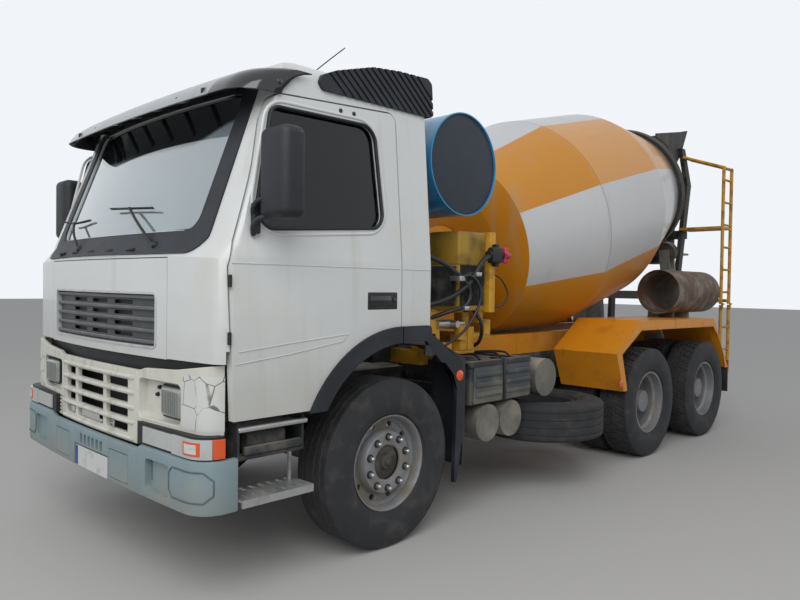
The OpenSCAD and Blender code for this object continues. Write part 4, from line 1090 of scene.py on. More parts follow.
def visor():
    """The sun visor with its smoky ends and its rail."""
    edge = VISOR_HALF - VISOR_R
    fit("visor_blade", [visor_blade(-edge + 0.05, edge - 0.05)], "chassis", "visor", "sun_visor", sharp=60)
    caps = [visor_blade(edge - 0.101, VISOR_HALF), flipped(visor_blade(edge - 0.101, VISOR_HALF))]
    caps += [revolved(((0.001, 0.0), (0.02, 0.0), (0.02, 0.1), (0.014, 0.108), (0.001, 0.108)),
                      at(0.885, side * 1.09, 2.678), (0, side, 0), 24) for side in (1, -1)]
    fit("visor_ends", caps, "chassis", "visor", finish="smoky", sharp=60)
    rail = boxes((0.86, -0.9, 2.70, 0.95, 0.9, 2.722))
    for i in range(7):
        y = -0.84 + 0.28 * i
        verts, faces = block((0.90, y - 0.009, 2.694), (1.135, y + 0.009, 2.722), 0.003)
        for vert in verts:
            vert.z -= max(0.0, vert.x - at(0.95, 0, 0).x) * 0.34
        rail.append((verts, faces))
    fit("visor_rail", rail, "chassis", "visor", finish="rubber")


VANE = [(-0.320, 2.706), (0.590, 2.700), (0.618, 2.738), (0.590, 2.785), (0.494, 2.828), (0.215, 2.912),
        (-0.010, 2.938), (-0.262, 2.948), (-0.300, 2.920)]
VANE_R = [0.03, 0.02, 0.02, 0.05, 0.2, 0.4, 0.5, 0.03, 0.03]


def vanes():
    """The grooved vanes on the roof's edges."""
    vane = prism("y", soft(VANE, VANE_R), 1.06, 1.186)
    vane = take(vane, cab_form(-SEAT, 1.8))
    grooves = []
    for i in range(15):
        verts, faces = block((-0.3, 1.176, -0.008), (0.3, 1.2, 0.008), 0.004)
        lean = Matrix.Rotation(math.radians(-40), 4, "Y")
        shift = at(-0.30 + 0.062 * i, 0, 2.82)
        grooves.append(([lean @ (vert - Vector((front_x, 0, 0))) + shift for vert in verts], faces))
    vane = take(vane, joined("grooves", grooves))
    other = mirrored(vane, "vane_right")
    both = joined_objects("vanes", vane, other)
    dress(both, "chassis", "black_plastic", "roof_vanes", finish="flare")


def joined_objects(name, *pieces):
    """One piece from several, which are used up."""
    parts = [([v.co.copy() for v in piece.data.vertices], [tuple(f.vertices) for f in piece.data.polygons])
             for piece in pieces]
    for piece in pieces:
        bpy.data.objects.remove(piece)
    return joined(name, parts)


def mirrors():
    """Mirror housings with their arms and glass."""
    for tag, _, turn in SIDES:
        housing = rounded_block(at(0.926, 1.272, 1.945), at(1.066, 1.4985, 2.395), 0.046, 6)
        for vert in housing[0]:
            across = (vert.y - 1.385) / 0.1135
            if vert.x > at(1.0, 0, 0).x:
                vert.x += 0.012 * (1 - across * across)
        arms = []
        for top in (2.045, 1.955):
            arms.append(pipe([(1.070, 1.245, top - 0.085), (1.085, 1.262, top - 0.045),
                              (1.075, 1.285, top - 0.01), (1.045, 1.315, top + 0.006)], 0.013))
        arms.append(block((1.038, 1.236, 1.876), (1.084, 1.264, 2.03), 0.008, 3))
        parts = [turn(part) for part in [housing] + arms]
        fit(f"mirror_body_{tag}", parts, f"door_{tag}", "black_plastic", f"mirror_{tag}", finish="flare")
        face = turn(rounded_block(at(0.9242, 1.312, 1.985), at(0.930, 1.458, 2.355), 0.0015, 2))
        fit(f"mirror_face_{tag}", [face], f"door_{tag}", "glass", finish="mirror_face")


# pivot, blade's middle, inner end and tip of each wiper
WIPERS = (((1.298, 0.638, 1.822), (1.222, 0.185, 2.061), (1.218, 0.46, 2.046), (1.224, -0.09, 2.076)),
          ((1.318, -0.348, 1.826), (1.210, -0.70, 2.020), (1.216, -0.43, 2.026), (1.200, -0.93, 2.042)))


def wipers():
    """The two wipers at rest."""
    parts = []
    for pivot, head, end, tip in WIPERS:
        pivot, head, end, tip = (Vector(point) for point in (pivot, head, end, tip))
        middle = pivot.lerp(head, 0.5) + Vector((0.018, 0, 0.012))
        parts.append(pipe([pivot, middle, head + Vector((0.006, 0, 0))], 0.008))
        parts.append(pipe([end, head, tip], 0.005))
        parts.append(pipe([end - Vector((0.008, 0, 0.004)), head - Vector((0.008, 0, 0.004)),
                           tip - Vector((0.008, 0, 0.004))], 0.004))
        parts.append(revolved(((0.001, 0.0), (0.022, 0.0), (0.022, 0.022), (0.014, 0.036), (0.001, 0.038)),
                              at(*(pivot - Vector((0.026, 0, 0)))), (1, 0, 0.2), 20))
    fit("wiper_arms", parts, "chassis", "black_plastic", finish="rubber")


SLAT_ZS = (1.297, 1.357, 1.417, 1.477, 1.537)


def grille():
    """The hatch's grille: rim, back plate and slats."""
    rim = take(keep(nose(-0.006), front_cut(grown(GRILLE, [GRILLE_R] * 4, -SEAT))), nose(0.034))
    rim = take(rim, front_cut(grown(GRILLE, [GRILLE_R] * 4, -0.012)))
    dress(named(rim, "grille_rim"), "front_hatch", "cab_white", finish="bright_rim")
    back = keep(nose(0.028), front_cut(grown(GRILLE, [GRILLE_R] * 4, -0.013)))
    back = take(back, nose(0.0335))
    holes = [block((1.2, y, z + 0.027), (1.5, y + 0.22, z + 0.05), 0.004) for z in SLAT_ZS[:4]
             for y in (-0.42, -0.11, 0.2)]
    back = take(back, joined("holes", holes))
    dress(named(back, "grille_back"), "front_hatch", "cab_white", finish="grille")
    slats = None
    for z in SLAT_ZS:
        slat = keep(take(nose(0.004), nose(0.03)), front_cut(rectangle((-0.71, z), (0.71, z + 0.019))))
        slats = slat if slats is None else add(slats, slat)
    modifier = slats.modifiers.new("soften", "BEVEL")
    modifier.width = 0.004
    modifier.segments = 2
    dress(named(slats, "grille_slats"), "front_hatch", "cab_white", finish="grille_slat")


def door_details():
    """Window seals, hinges, handle, crease, belt line and plugs of each door."""
    for tag, _, turn in SIDES:
        body = f"door_{tag}"
        line = [at(x, side_y(z) + 0.001, z) for x, z in grown(WINDOW, WINDOW_R, 0.004)]
        fit(f"window_seal_{tag}", [turn(swept(line, oval(0.012, 0.010), True))], body, "black_plastic",
            finish="rubber")
        rim = [at(x, side_y(z) + 0.001, z) for x, z in grown(WINDOW, WINDOW_R, 0.036)]
        fit(f"window_rim_{tag}", [turn(swept(rim, oval(0.006, 0.009), True))], body, "cab_white")
        for z in (1.33, 1.61):
            knuckle = stub(0.01, 0.06, (1.204, 1.25, z), (0, 0, 1), 24)
            fit(f"hinge_{int(z * 100)}_{tag}", [turn(knuckle)], body, "cab_white", finish="rubber")
        cup = rounded_block(at(0.047, 1.221, 1.483), at(0.293, 1.2475, 1.589), 0.008, 3)
        fit(f"handle_cup_{tag}", [turn(cup)], body, "black_plastic", finish="rubber")
        flap = [rounded_block(at(0.105, 1.246, 1.512), at(0.275, 1.2515, 1.566), 0.0025, 2),
                revolved(((0.0005, 0.0), (0.013, 0.0), (0.013, 0.004), (0.0005, 0.005)),
                         at(0.075, 1.247, 1.54), (0, 1, 0), 24)]
        fit(f"handle_flap_{tag}", [turn(part) for part in flap], body, "black_plastic", finish="smoky")
        crease = [pipe([(1.150, 1.2455, 1.290), (0.840, 1.2455, 1.319), (0.430, 1.2455, 1.352),
                        (0.473, 1.2455, 1.313), (0.840, 1.2455, 1.262), (1.165, 1.2455, 1.229)], 0.0035,
                       smooth=False)]
        fit(f"door_crease_{tag}", [turn(part) for part in crease], body, "cab_white")
        belt = pipe([(0.03, 1.2452, 1.728), (1.19, 1.2452, 1.728)], 0.0035, smooth=False)
        fit(f"door_belt_{tag}", [turn(belt)], body, "cab_white")
        belt = pipe([(-0.245, 1.2452, 1.728), (0.0, 1.2452, 1.728)], 0.0035, smooth=False)
        fit(f"rear_belt_{tag}", [turn(belt)], "chassis", "cab_white")
        plugs = [revolved(((0.0005, 0.0), (0.013, 0.0), (0.012, 0.005), (0.0005, 0.006)),
                          at(x, side_y(2.61) - 0.001, 2.612), (0, 1, 0.08), 20) for x in (0.455, 0.355)]
        fit(f"door_plugs_{tag}", [turn(part) for part in plugs], body, "black_plastic", finish="rubber")


def aerial():
    """The aerial on the roof."""
    fit("aerial", [pipe([(0.458, 0.9, 2.868), (0.325, 0.9, 2.983), (0.193, 0.9, 3.093)], 0.0035),
                   revolved(((0.001, 0.0), (0.022, 0.0), (0.018, 0.012), (0.008, 0.022), (0.001, 0.022)),
                            at(0.462, 0.9, 2.858), (-0.3, 0, 1), 20)], "chassis", "black_plastic",
        finish="rubber")


def front_plan(front, half, radius, crown, inset, back):
    """A front piece's plan, from the right to the left; every edge moved in by inset."""
    edge = half - radius
    plan = [(back - (1.0 if inset else 0.0), inset - half)]
    plan += [(front - radius + (radius - inset) * math.cos(a), (radius - inset) * math.sin(a) - edge)
             for a in (math.radians(-90 + 10 * k) for k in range(9))]
    plan += [(front - inset + crown * (1 - k * k / 100), edge * k / 10) for k in range(-10, 11)]
    plan += [(front - radius + (radius - inset) * math.cos(a), (radius - inset) * math.sin(a) + edge)
             for a in (math.radians(10 + 10 * k) for k in range(9))]
    return plan + [(back - (1.0 if inset else 0.0), half - inset)]


def front_shell(size, inset, thick, low, high):
    """A band that follows the front, as a solid."""
    outer = prism("z", front_plan(*size[:4], inset, size[4]), low, high)
    if inset:
        outer = keep(outer, prism("z", rectangle((size[4], -1.4), (1.6, 1.4)), low - 0.1, high + 0.1))
    return take(outer, prism("z", front_plan(*size[:4], inset + thick, size[4]), low - 0.1, high + 0.1))


# front, half width, corner radius, crown and back of the pieces that follow the front
PANEL = (1.295, 1.19, 0.105, 0.06, 1.19)
BUMPER = (1.36, 1.245, 0.15, 0.03, 1.14)
LENS = (1.352, 1.243, 0.135, 0.03, 1.215)


def reach_x(size, y):
    """How far ahead a front piece reaches at a place across."""
    front, half, radius, crown = size[:4]
    edge = half - radius
    if abs(y) <= edge:
        return front + crown * (1 - (y / edge) ** 2)
    return front - radius + math.sqrt(max(0.0, radius ** 2 - (abs(y) - edge) ** 2))


def both_sides(low_y, high_y, low_z, high_z, radius, low_x=1.0, high_x=1.5):
    """Two equal prisms through the front, left and right."""
    left = soft(rectangle((low_y, low_z), (high_y, high_z)), [radius] * 4)
    right = soft(rectangle((-high_y, low_z), (-low_y, high_z)), [radius] * 4)
    return prism("x", left, low_x, high_x), prism("x", right, low_x, high_x)


def softened(piece, width):
    modifier = piece.modifiers.new("soften", "BEVEL")
    modifier.width = width
    modifier.segments = 2
    modifier.limit_method = "ANGLE"
    modifier.angle_limit = math.radians(50)
    return piece


# the lower panel's openings: heights, and places across
COLUMNS = ((-0.46, -0.30), (-0.26, 0.13), (0.17, 0.44))
ROWS = ((0.792, 0.842), (0.874, 0.924), (0.956, 1.006), (1.038, 1.088))


def front_panel():
    """The lower front panel with its ribs and headlamp pockets."""
    panel = front_shell(PANEL, 0.0, 0.028, 0.748, 1.26)
    above = front_cut([(-1.3, 1.223), (-1.19, 1.223), (-0.9, 1.182), (-0.62, 1.168), (-0.56, 1.15),
                       (0.56, 1.15), (0.62, 1.168), (0.9, 1.182), (1.19, 1.223), (1.3, 1.223), (1.3, 1.4),
                       (-1.3, 1.4)])
    panel = take(panel, above, *both_sides(0.548, 1.3, 0.6, 0.876, 0.0),
                 *both_sides(0.560, 0.966, 0.902, 1.112, 0.035))
    openings = [block((1.1, low_y, low), (1.5, high_y, high), 0.006) for low, high in ROWS
                for low_y, high_y in COLUMNS]
    panel = take(panel, joined("rows", openings))
    for side in (1, -1):
        panel = take(panel, front_cut(rectangle(*sorted(((side * 0.546, 0.7), (side * 0.550, 1.3))))))
    softened(panel, 0.004)
    dress(named(panel, "front_panel"), "chassis", "panel_cream", "lower_front_panel")
    patch = keep(front_shell(PANEL, -0.0012, 0.003, 0.89, 1.175),
                 add(*both_sides(0.985, 1.25, 0.896, 1.168, 0.03)))
    dress(named(patch, "corner_patches"), "chassis", "panel_cream", finish="patched")
    ribs = []
    for z in (0.768, 0.858, 0.940, 1.022, 1.106):
        path = [at(reach_x(PANEL, y) + 0.004, y, z) for y in [-0.50 + 0.1 * k for k in range(11)]]
        ribs.append(swept(path, [(0.010 * u, 0.012 * v) for u, v in oval(1.0, 1.0, 12)]))
        ribs += [block((reach_x(PANEL, y) - 0.03, y - 0.012, z - 0.01),
                       (reach_x(PANEL, y) + 0.008, y + 0.012, z + 0.01), 0.005) for y in (-0.5, 0.5)]
    fit("panel_ribs", ribs, "chassis", "panel_cream")
    bowls = front_shell(PANEL, 0.05, 0.01, 0.885, 1.13)
    bowls = keep(bowls, add(*both_sides(0.552, 0.975, 0.886, 1.128, 0.03)))
    walls = take(front_shell(PANEL, 0.006, 0.05, 0.88, 1.13),
                 *both_sides(0.560 - CLEAN, 0.966 + CLEAN, 0.902 - CLEAN, 1.112 + CLEAN, 0.035))
    walls = keep(walls, add(*both_sides(0.552, 0.975, 0.894, 1.120, 0.04)))
    dress(named(add(bowls, walls), "lamp_pockets"), "chassis", "panel_cream")
    fit("panel_back", boxes((1.165, -1.05, 0.755, 1.18, 1.05, 1.145), (1.285, -1.0, 0.53, 1.295, 1.0, 0.735)),
        "chassis", "panel_cream", finish="rubber")


def headlamps():
    """Headlamps with flutes, seal and bolts."""
    for tag, _, turn in SIDES:
        x = reach_x(PANEL, 0.86) - 0.012
        lens = rounded_block(at(x - 0.05, 0.742, 0.930), at(x, 0.958, 1.088), 0.02, 4)
        for vert in lens[0]:
            if vert.x > at(x - 0.021, 0, 0).x:
                vert.x += 0.012 * (1 - ((vert.y - 0.85) / 0.108) ** 2) * (1 - ((vert.z - 1.009) / 0.079) ** 2)
        rim = [at(x - 0.020, y, z) for y, z in soft(rectangle((0.739, 0.927), (0.961, 1.091)), [0.022] * 4)]
        flutes = [block((x - 0.006, 0.772 + 0.019 * k, 0.952),
                        (x + 0.0125 - 0.001 * abs(k - 4), 0.778 + 0.019 * k, 1.066), 0.002, 1)
                  for k in range(9)]
        fit(f"headlamp_{tag}", [turn(lens)] + [turn(part) for part in flutes], "chassis", "lamp",
            finish="head_lens")
        bolts = [revolved(((0.0005, 0.0), (0.012, 0.0), (0.009, 0.016), (0.0005, 0.016)),
                          at(reach_x(PANEL, y) - 0.05, y, z), (1, 0, 0), 16)
                 for y, z in ((0.70, 1.07), (0.68, 1.03))]
        fit(f"headlamp_rim_{tag}", [turn(swept(rim, oval(0.005, 0.007), True))]
            + [turn(part) for part in bolts], "chassis", "black_plastic", finish="rubber")


def turn_lamps():
    """The corner lamps, their seats and the vents beside them."""
    first = keep(front_shell(LENS, 0.004, 0.05, 0.782, 0.868), add(*both_sides(0.672, 0.964, 0.7, 0.9, 0.0)))
    second = front_shell(LENS, 0.0, 0.055, 0.776, 0.872)
    second = keep(second, add(*both_sides(0.972, 1.3, 0.7, 0.9, 0.0)))
    ends = keep(copy_of(second), prism("z", rectangle((0.9, -1.4), (1.275, 1.4)), 0.65, 0.95))
    second = take(second, prism("z", rectangle((0.9, -1.4), (1.278, 1.4)), 0.65, 0.95))
    dress(named(softened(add(first, second), 0.004), "turn_lenses"), "chassis", "lamp", "lamps",
          finish="clear_lens")
    dress(named(softened(ends, 0.003), "turn_ends"), "chassis", "lamp", finish="orange_lens")
    square = keep(front_shell(LENS, -0.003, 0.01, 0.792, 0.858), add(*both_sides(1.082, 1.19, 0.7, 0.9, 0.0)))
    inner = keep(front_shell(LENS, -0.005, 0.01, 0.802, 0.848), add(*both_sides(1.096, 1.176, 0.7, 0.9, 0.0)))
    dress(named(square, "turn_squares"), "chassis", "lamp", finish="orange_lens")
    dress(named(inner, "turn_middles"), "chassis", "lamp", finish="plate_white")
    seat = keep(front_shell(LENS, 0.012, 0.08, 0.766, 0.882), add(*both_sides(0.6, 1.3, 0.7, 0.9, 0.0)))
    dress(named(seat, "turn_seats"), "chassis", "black_plastic", finish="rubber")
    vents = keep(front_shell(PANEL, 0.0, 0.02, 0.755, 0.870), add(*both_sides(0.556, 0.662, 0.7, 0.9, 0.0)))
    slots = [block((1.2, side * 0.61 - 0.04, z), (1.5, side * 0.61 + 0.04, z + 0.011), 0.004)
             for side in (1, -1) for z in (0.772, 0.796, 0.820, 0.844)]
    vents = take(vents, joined("slots", slots))
    dress(named(vents, "corner_vents"), "chassis", "panel_cream")


OCTAGON = [(0.995, 0.565), (1.205, 0.565), (1.232, 0.60), (1.232, 0.675), (1.205, 0.715), (0.995, 0.715),
           (0.965, 0.685), (0.965, 0.60)]


def dense(points, step):
    """A closed line with extra points, no two further apart than step."""
    line = []
    for here, after in zip(points, points[1:] + points[:1]):
        count = max(1, math.ceil(math.dist(here, after) / step))
        line += [tuple(Vector(here).lerp(Vector(after), k / count)) for k in range(count)]
    return line


def bumper():
    """The bumper with its recesses, raised marks and blank plate."""
    form = take(prism("z", front_plan(*BUMPER[:4], 0.0, BUMPER[4]), 0.50, 0.78),
                prism("z", front_plan(*BUMPER[:4], 0.04, BUMPER[4]), 0.4, 0.9))
    form = take(form, front_cut([(-1.4, 0.768), (-0.66, 0.768), (-0.60, 0.742), (0.60, 0.742),
                                 (0.66, 0.768), (1.4, 0.768), (1.4, 0.9), (-1.4, 0.9)]))
    softened(form, 0.012)
    graph = bpy.context.evaluated_depsgraph_get()
    mesh = bpy.data.meshes.new_from_object(form.evaluated_get(graph))
    form.modifiers.clear()
    form.data = mesh
    slots = [block((1.2, -0.12 + 0.058 * k, 0.648), (1.5, -0.12 + 0.058 * k + 0.034, 0.708), 0.008)
             for k in range(6)]
    form = take(form, joined("slots", slots))
    fogs = both_sides(0.722, 0.962, 0.545, 0.712, 0.03, 1.346, 1.5)
    tows = both_sides(0.296, 0.536, 0.528, 0.690, 0.012)
    inner = both_sides(0.300, 0.532, 0.532, 0.686, 0.01, 0.9, 1.6)
    form = take(form, *fogs, take(tows[0], inner[0]), take(tows[1], inner[1]))
    form = take(form, *both_sides(0.726, 0.748, 0.585, 0.70, 0.008, 1.2, 1.5))
    seat = keep(front_shell(BUMPER, -0.02, 0.035, 0.4, 0.7),
                front_cut(rectangle((-0.210, 0.45), (0.280, 0.638))))
    form = take(form, seat)
    covers = keep(front_shell(BUMPER, 0.002, 0.02, 0.5, 0.74),
                  add(*both_sides(0.300, 0.532, 0.532, 0.686, 0.01, 0.9, 1.6)))
    for side in (1, -1):
        covers = take(covers, front_cut(rectangle(*sorted(((side * 0.33, 0.655), (side * 0.38, 0.668))))))
    bracket = [block((1.02, side * 0.42 - 0.04, 0.57), (1.34, side * 0.42 + 0.04, 0.63)) for side in (1, -1)]
    dress(named(form, "bumper_skin"), "chassis", "bumper_grey", "bumper")
    dress(named(covers, "tow_covers"), "chassis", "bumper_grey")
    fit("bumper_brackets", bracket, "chassis", "frame")
    lines = []
    for side in (1, -1):
        line = [at(reach_x(BUMPER, y) + 0.001, side * (y + 0.0005), z)
                for y, z in dense(soft(OCTAGON, [0.012] * 8, 0.0, 3), 0.012)]
        lines.append(swept(line, oval(0.004, 0.004, 8), True))
    fit("bumper_marks", lines, "chassis", "bumper_grey", finish="bumper_line")
    plate = keep(front_shell(BUMPER, 0.003, 0.004, 0.505, 0.628),
                 front_cut(rectangle((-0.20, 0.5), (0.27, 0.64))))
    strip = keep(front_shell(BUMPER, 0.0015, 0.002, 0.509, 0.624),
                 front_cut(rectangle((-0.196, 0.5), (-0.158, 0.64))))
    holder = keep(front_shell(BUMPER, 0.0065, 0.008, 0.501, 0.634),
                  front_cut(rectangle((-0.208, 0.49), (0.278, 0.65))))
    dress(named(plate, "plate"), "chassis", "lamp", finish="plate_white")
    dress(named(strip, "plate_strip"), "chassis", "lamp", finish="plate_blue")
    dress(named(holder, "plate_holder"), "chassis", "black_plastic", finish="rubber")


def steps():
    """The entry steps and what hangs behind them."""
    for tag, side, turn in SIDES:
        tread = take(prism("z", rectangle((0.656, 0.98), (1.105, 1.225)), 0.526, 0.540),
                     joined("slots", [block((0.690 + 0.058 * k, y, 0.49),
                                            (0.716 + 0.058 * k, y + 0.058, 0.56), 0.006) for k in range(7)
                                      for y in (1.02, 1.14)]))
        fold = prism("z", rectangle((0.656, 1.213), (1.105, 1.225)), 0.500, 0.5395)
        tread = add(tread, fold)
        if side < 0:
            other = mirrored(tread, "tread_step_right")
            bpy.data.objects.remove(tread)
            tread = other
        dress(named(tread, f"step_tread_{tag}"), "chassis", "step_alu",
              *(["entry_steps"] if side > 0 else []))
        box = boxes((0.70, 1.03, 0.732, 1.13, 1.19, 0.752, 0.004),
                    (0.70, 1.03, 0.752, 0.715, 1.19, 0.925, 0.004),
                    (1.115, 1.03, 0.752, 1.13, 1.21, 0.925, 0.004),
                    (0.70, 1.02, 0.74, 1.13, 1.035, 0.925, 0.004),
                    (0.72, 1.17, 0.756, 1.08, 1.205, 0.80, 0.01),
                    (0.80, 1.09, 0.76, 1.05, 1.17, 0.86, 0.02))
        fit(f"step_box_{tag}", [turn(part) for part in box], "chassis", "step_alu", finish="black_dusty")
        bar = boxes((0.70, 1.196, 0.882, 1.13, 1.226, 0.908, 0.008, 3),
                    (0.72, 1.05, 0.886, 1.12, 1.196, 0.898, 0.003))
        bar += [pipe([(x, 1.06, 0.735), (x, 1.06, 0.538)], 0.012) for x in (0.70, 1.06)]
        fit(f"step_bar_{tag}", [turn(part) for part in bar], "chassis", "step_alu")


TANK = (-0.691, 2.465)
TANK_R = 0.352
TANK_Y = 1.15
RAIL_TOP = 1.0
SUBFRAME_TOP = 1.19


def on_drum(along):
    """The point of the drum's axis that lies so far from its front."""
    return DRUM_START + DRUM_AXIS * along


def water_tank():
    """The blue tank, its dark ends and its legs."""
    x, z = TANK
    half = [(TANK_R - 0.002, 0.0), (TANK_R - 0.002, TANK_Y - 0.034), (TANK_R, TANK_Y - 0.030),
            (TANK_R, TANK_Y - 0.001), (TANK_R - 0.004, TANK_Y), (TANK_R - 0.008, TANK_Y),
            (TANK_R - 0.010, TANK_Y - 0.004), (TANK_R - 0.010, TANK_Y - 0.02)]
    barrel = [revolved([(r, s * y) for r, y in half][::1 if s > 0 else -1], at(x, 0, z), (0, 1, 0), 72)
              for s in (1, -1)]
    fit("tank_barrel", barrel, "chassis", "tank_blue", "water_tank")
    ends = [revolved(((0.0005, 0.0), (TANK_R - 0.009, 0.0), (TANK_R - 0.009, 0.006),
                      (TANK_R - 0.05, 0.012), (0.0005, 0.014)), at(x, s * (TANK_Y - 0.020), z), (0, s, 0),
                     72) for s in (1, -1)]
    fit("tank_ends", ends, "chassis", "tank_blue", finish="tank_end")
    legs = None
    for side in (1, -1):
        low, high = sorted((side * 0.38, side * 0.42))
        leg = prism("y", [(-1.0, RAIL_TOP), (-0.85, RAIL_TOP), (x + 0.15, 2.0), (x + 0.3, 2.34),
                          (x - 0.3, 2.34), (-0.85, 2.0)], low, high)
        leg = take(leg, prism("y", disc_outline((x, z), TANK_R - 0.001), -0.5, 0.5))
        legs = leg if legs is None else add(legs, leg)
    dress(named(softened(legs, 0.004), "tank_legs"), "chassis", "frame")


def drum_gear():
    """The drum's gearbox and its stand."""
    gear = [(0.0005, -0.64), (0.118, -0.64), (0.12, -0.635), (0.12, -0.42), (0.2, -0.42), (0.2, -0.39),
            (0.24, -0.385), (0.24, -0.30), (0.225, -0.29), (0.225, -0.20), (0.24, -0.19), (0.24, -0.15),
            (0.0005, -0.15)]
    bolts = []
    for k in range(16):
        turn = 2 * math.pi * k / 16
        side = DRUM_UP * math.cos(turn) + Vector((0, 1, 0)) * math.sin(turn)
        bolts.append(revolved(((0.0005, 0.0), (0.012, 0.0), (0.012, 0.012), (0.0005, 0.012)),
                              on_drum(-0.432) + side * 0.18, DRUM_AXIS, 6))
    fit("drum_gear", [revolved(gear, DRUM_START, DRUM_AXIS, 48)] + bolts, "chassis", "yellow", "drum_drive")
    stand = None
    for side in (1, -1):
        low, high = sorted((side * 0.15, side * 0.19))
        plate = prism("y", [(-1.25, SUBFRAME_TOP), (-1.48, 1.80), (-1.50, 1.985), (-1.76, 1.985),
                            (-1.72, 1.80), (-1.75, SUBFRAME_TOP)][::-1], low, high)
        stand = plate if stand is None else add(stand, plate)
    base = prism("z", soft(rectangle((-1.75, -0.43), (-1.25, 0.43)), [0.03] * 4), SUBFRAME_TOP,
                 SUBFRAME_TOP + 0.03)
    dress(named(softened(add(stand, base), 0.004), "drum_stand"), "chassis", "yellow")


# radius and points of each hose, ahead of the front axle
HOSES = (
    (0.018, ((-1.04, 1.13, 1.865), (-0.99, 1.135, 1.845), (-0.92, 1.13, 1.80), (-0.85, 1.125, 1.715),
             (-0.77, 1.12, 1.635), (-0.62, 1.08, 1.545), (-0.43, 1.00, 1.49), (-0.34, 0.85, 1.50),
             (-0.36, 0.60, 1.52))),
    (0.015, ((-0.31, 0.95, 1.90), (-0.42, 1.05, 1.835), (-0.56, 1.11, 1.77), (-0.70, 1.125, 1.69),
             (-0.80, 1.12, 1.60), (-0.78, 1.11, 1.50), (-0.66, 1.05, 1.45), (-0.56, 0.95, 1.40))),
    (0.010, ((-0.68, 1.13, 1.68), (-0.76, 1.145, 1.705), (-0.86, 1.15, 1.65), (-0.885, 1.15, 1.54),
             (-0.83, 1.14, 1.42), (-0.73, 1.11, 1.30), (-0.58, 1.05, 1.20), (-0.52, 0.95, 1.16))),
    (0.006, ((-1.10, 1.10, 1.72), (-1.19, 1.11, 1.68), (-1.27, 1.11, 1.57), (-1.20, 1.105, 1.49),
             (-1.08, 1.09, 1.475))),
    (0.014, ((-1.00, 0.98, 1.47), (-1.03, 1.04, 1.38), (-1.06, 1.03, 1.28), (-1.10, 0.96, 1.20),
             (-1.12, 0.85, 1.16))),
)


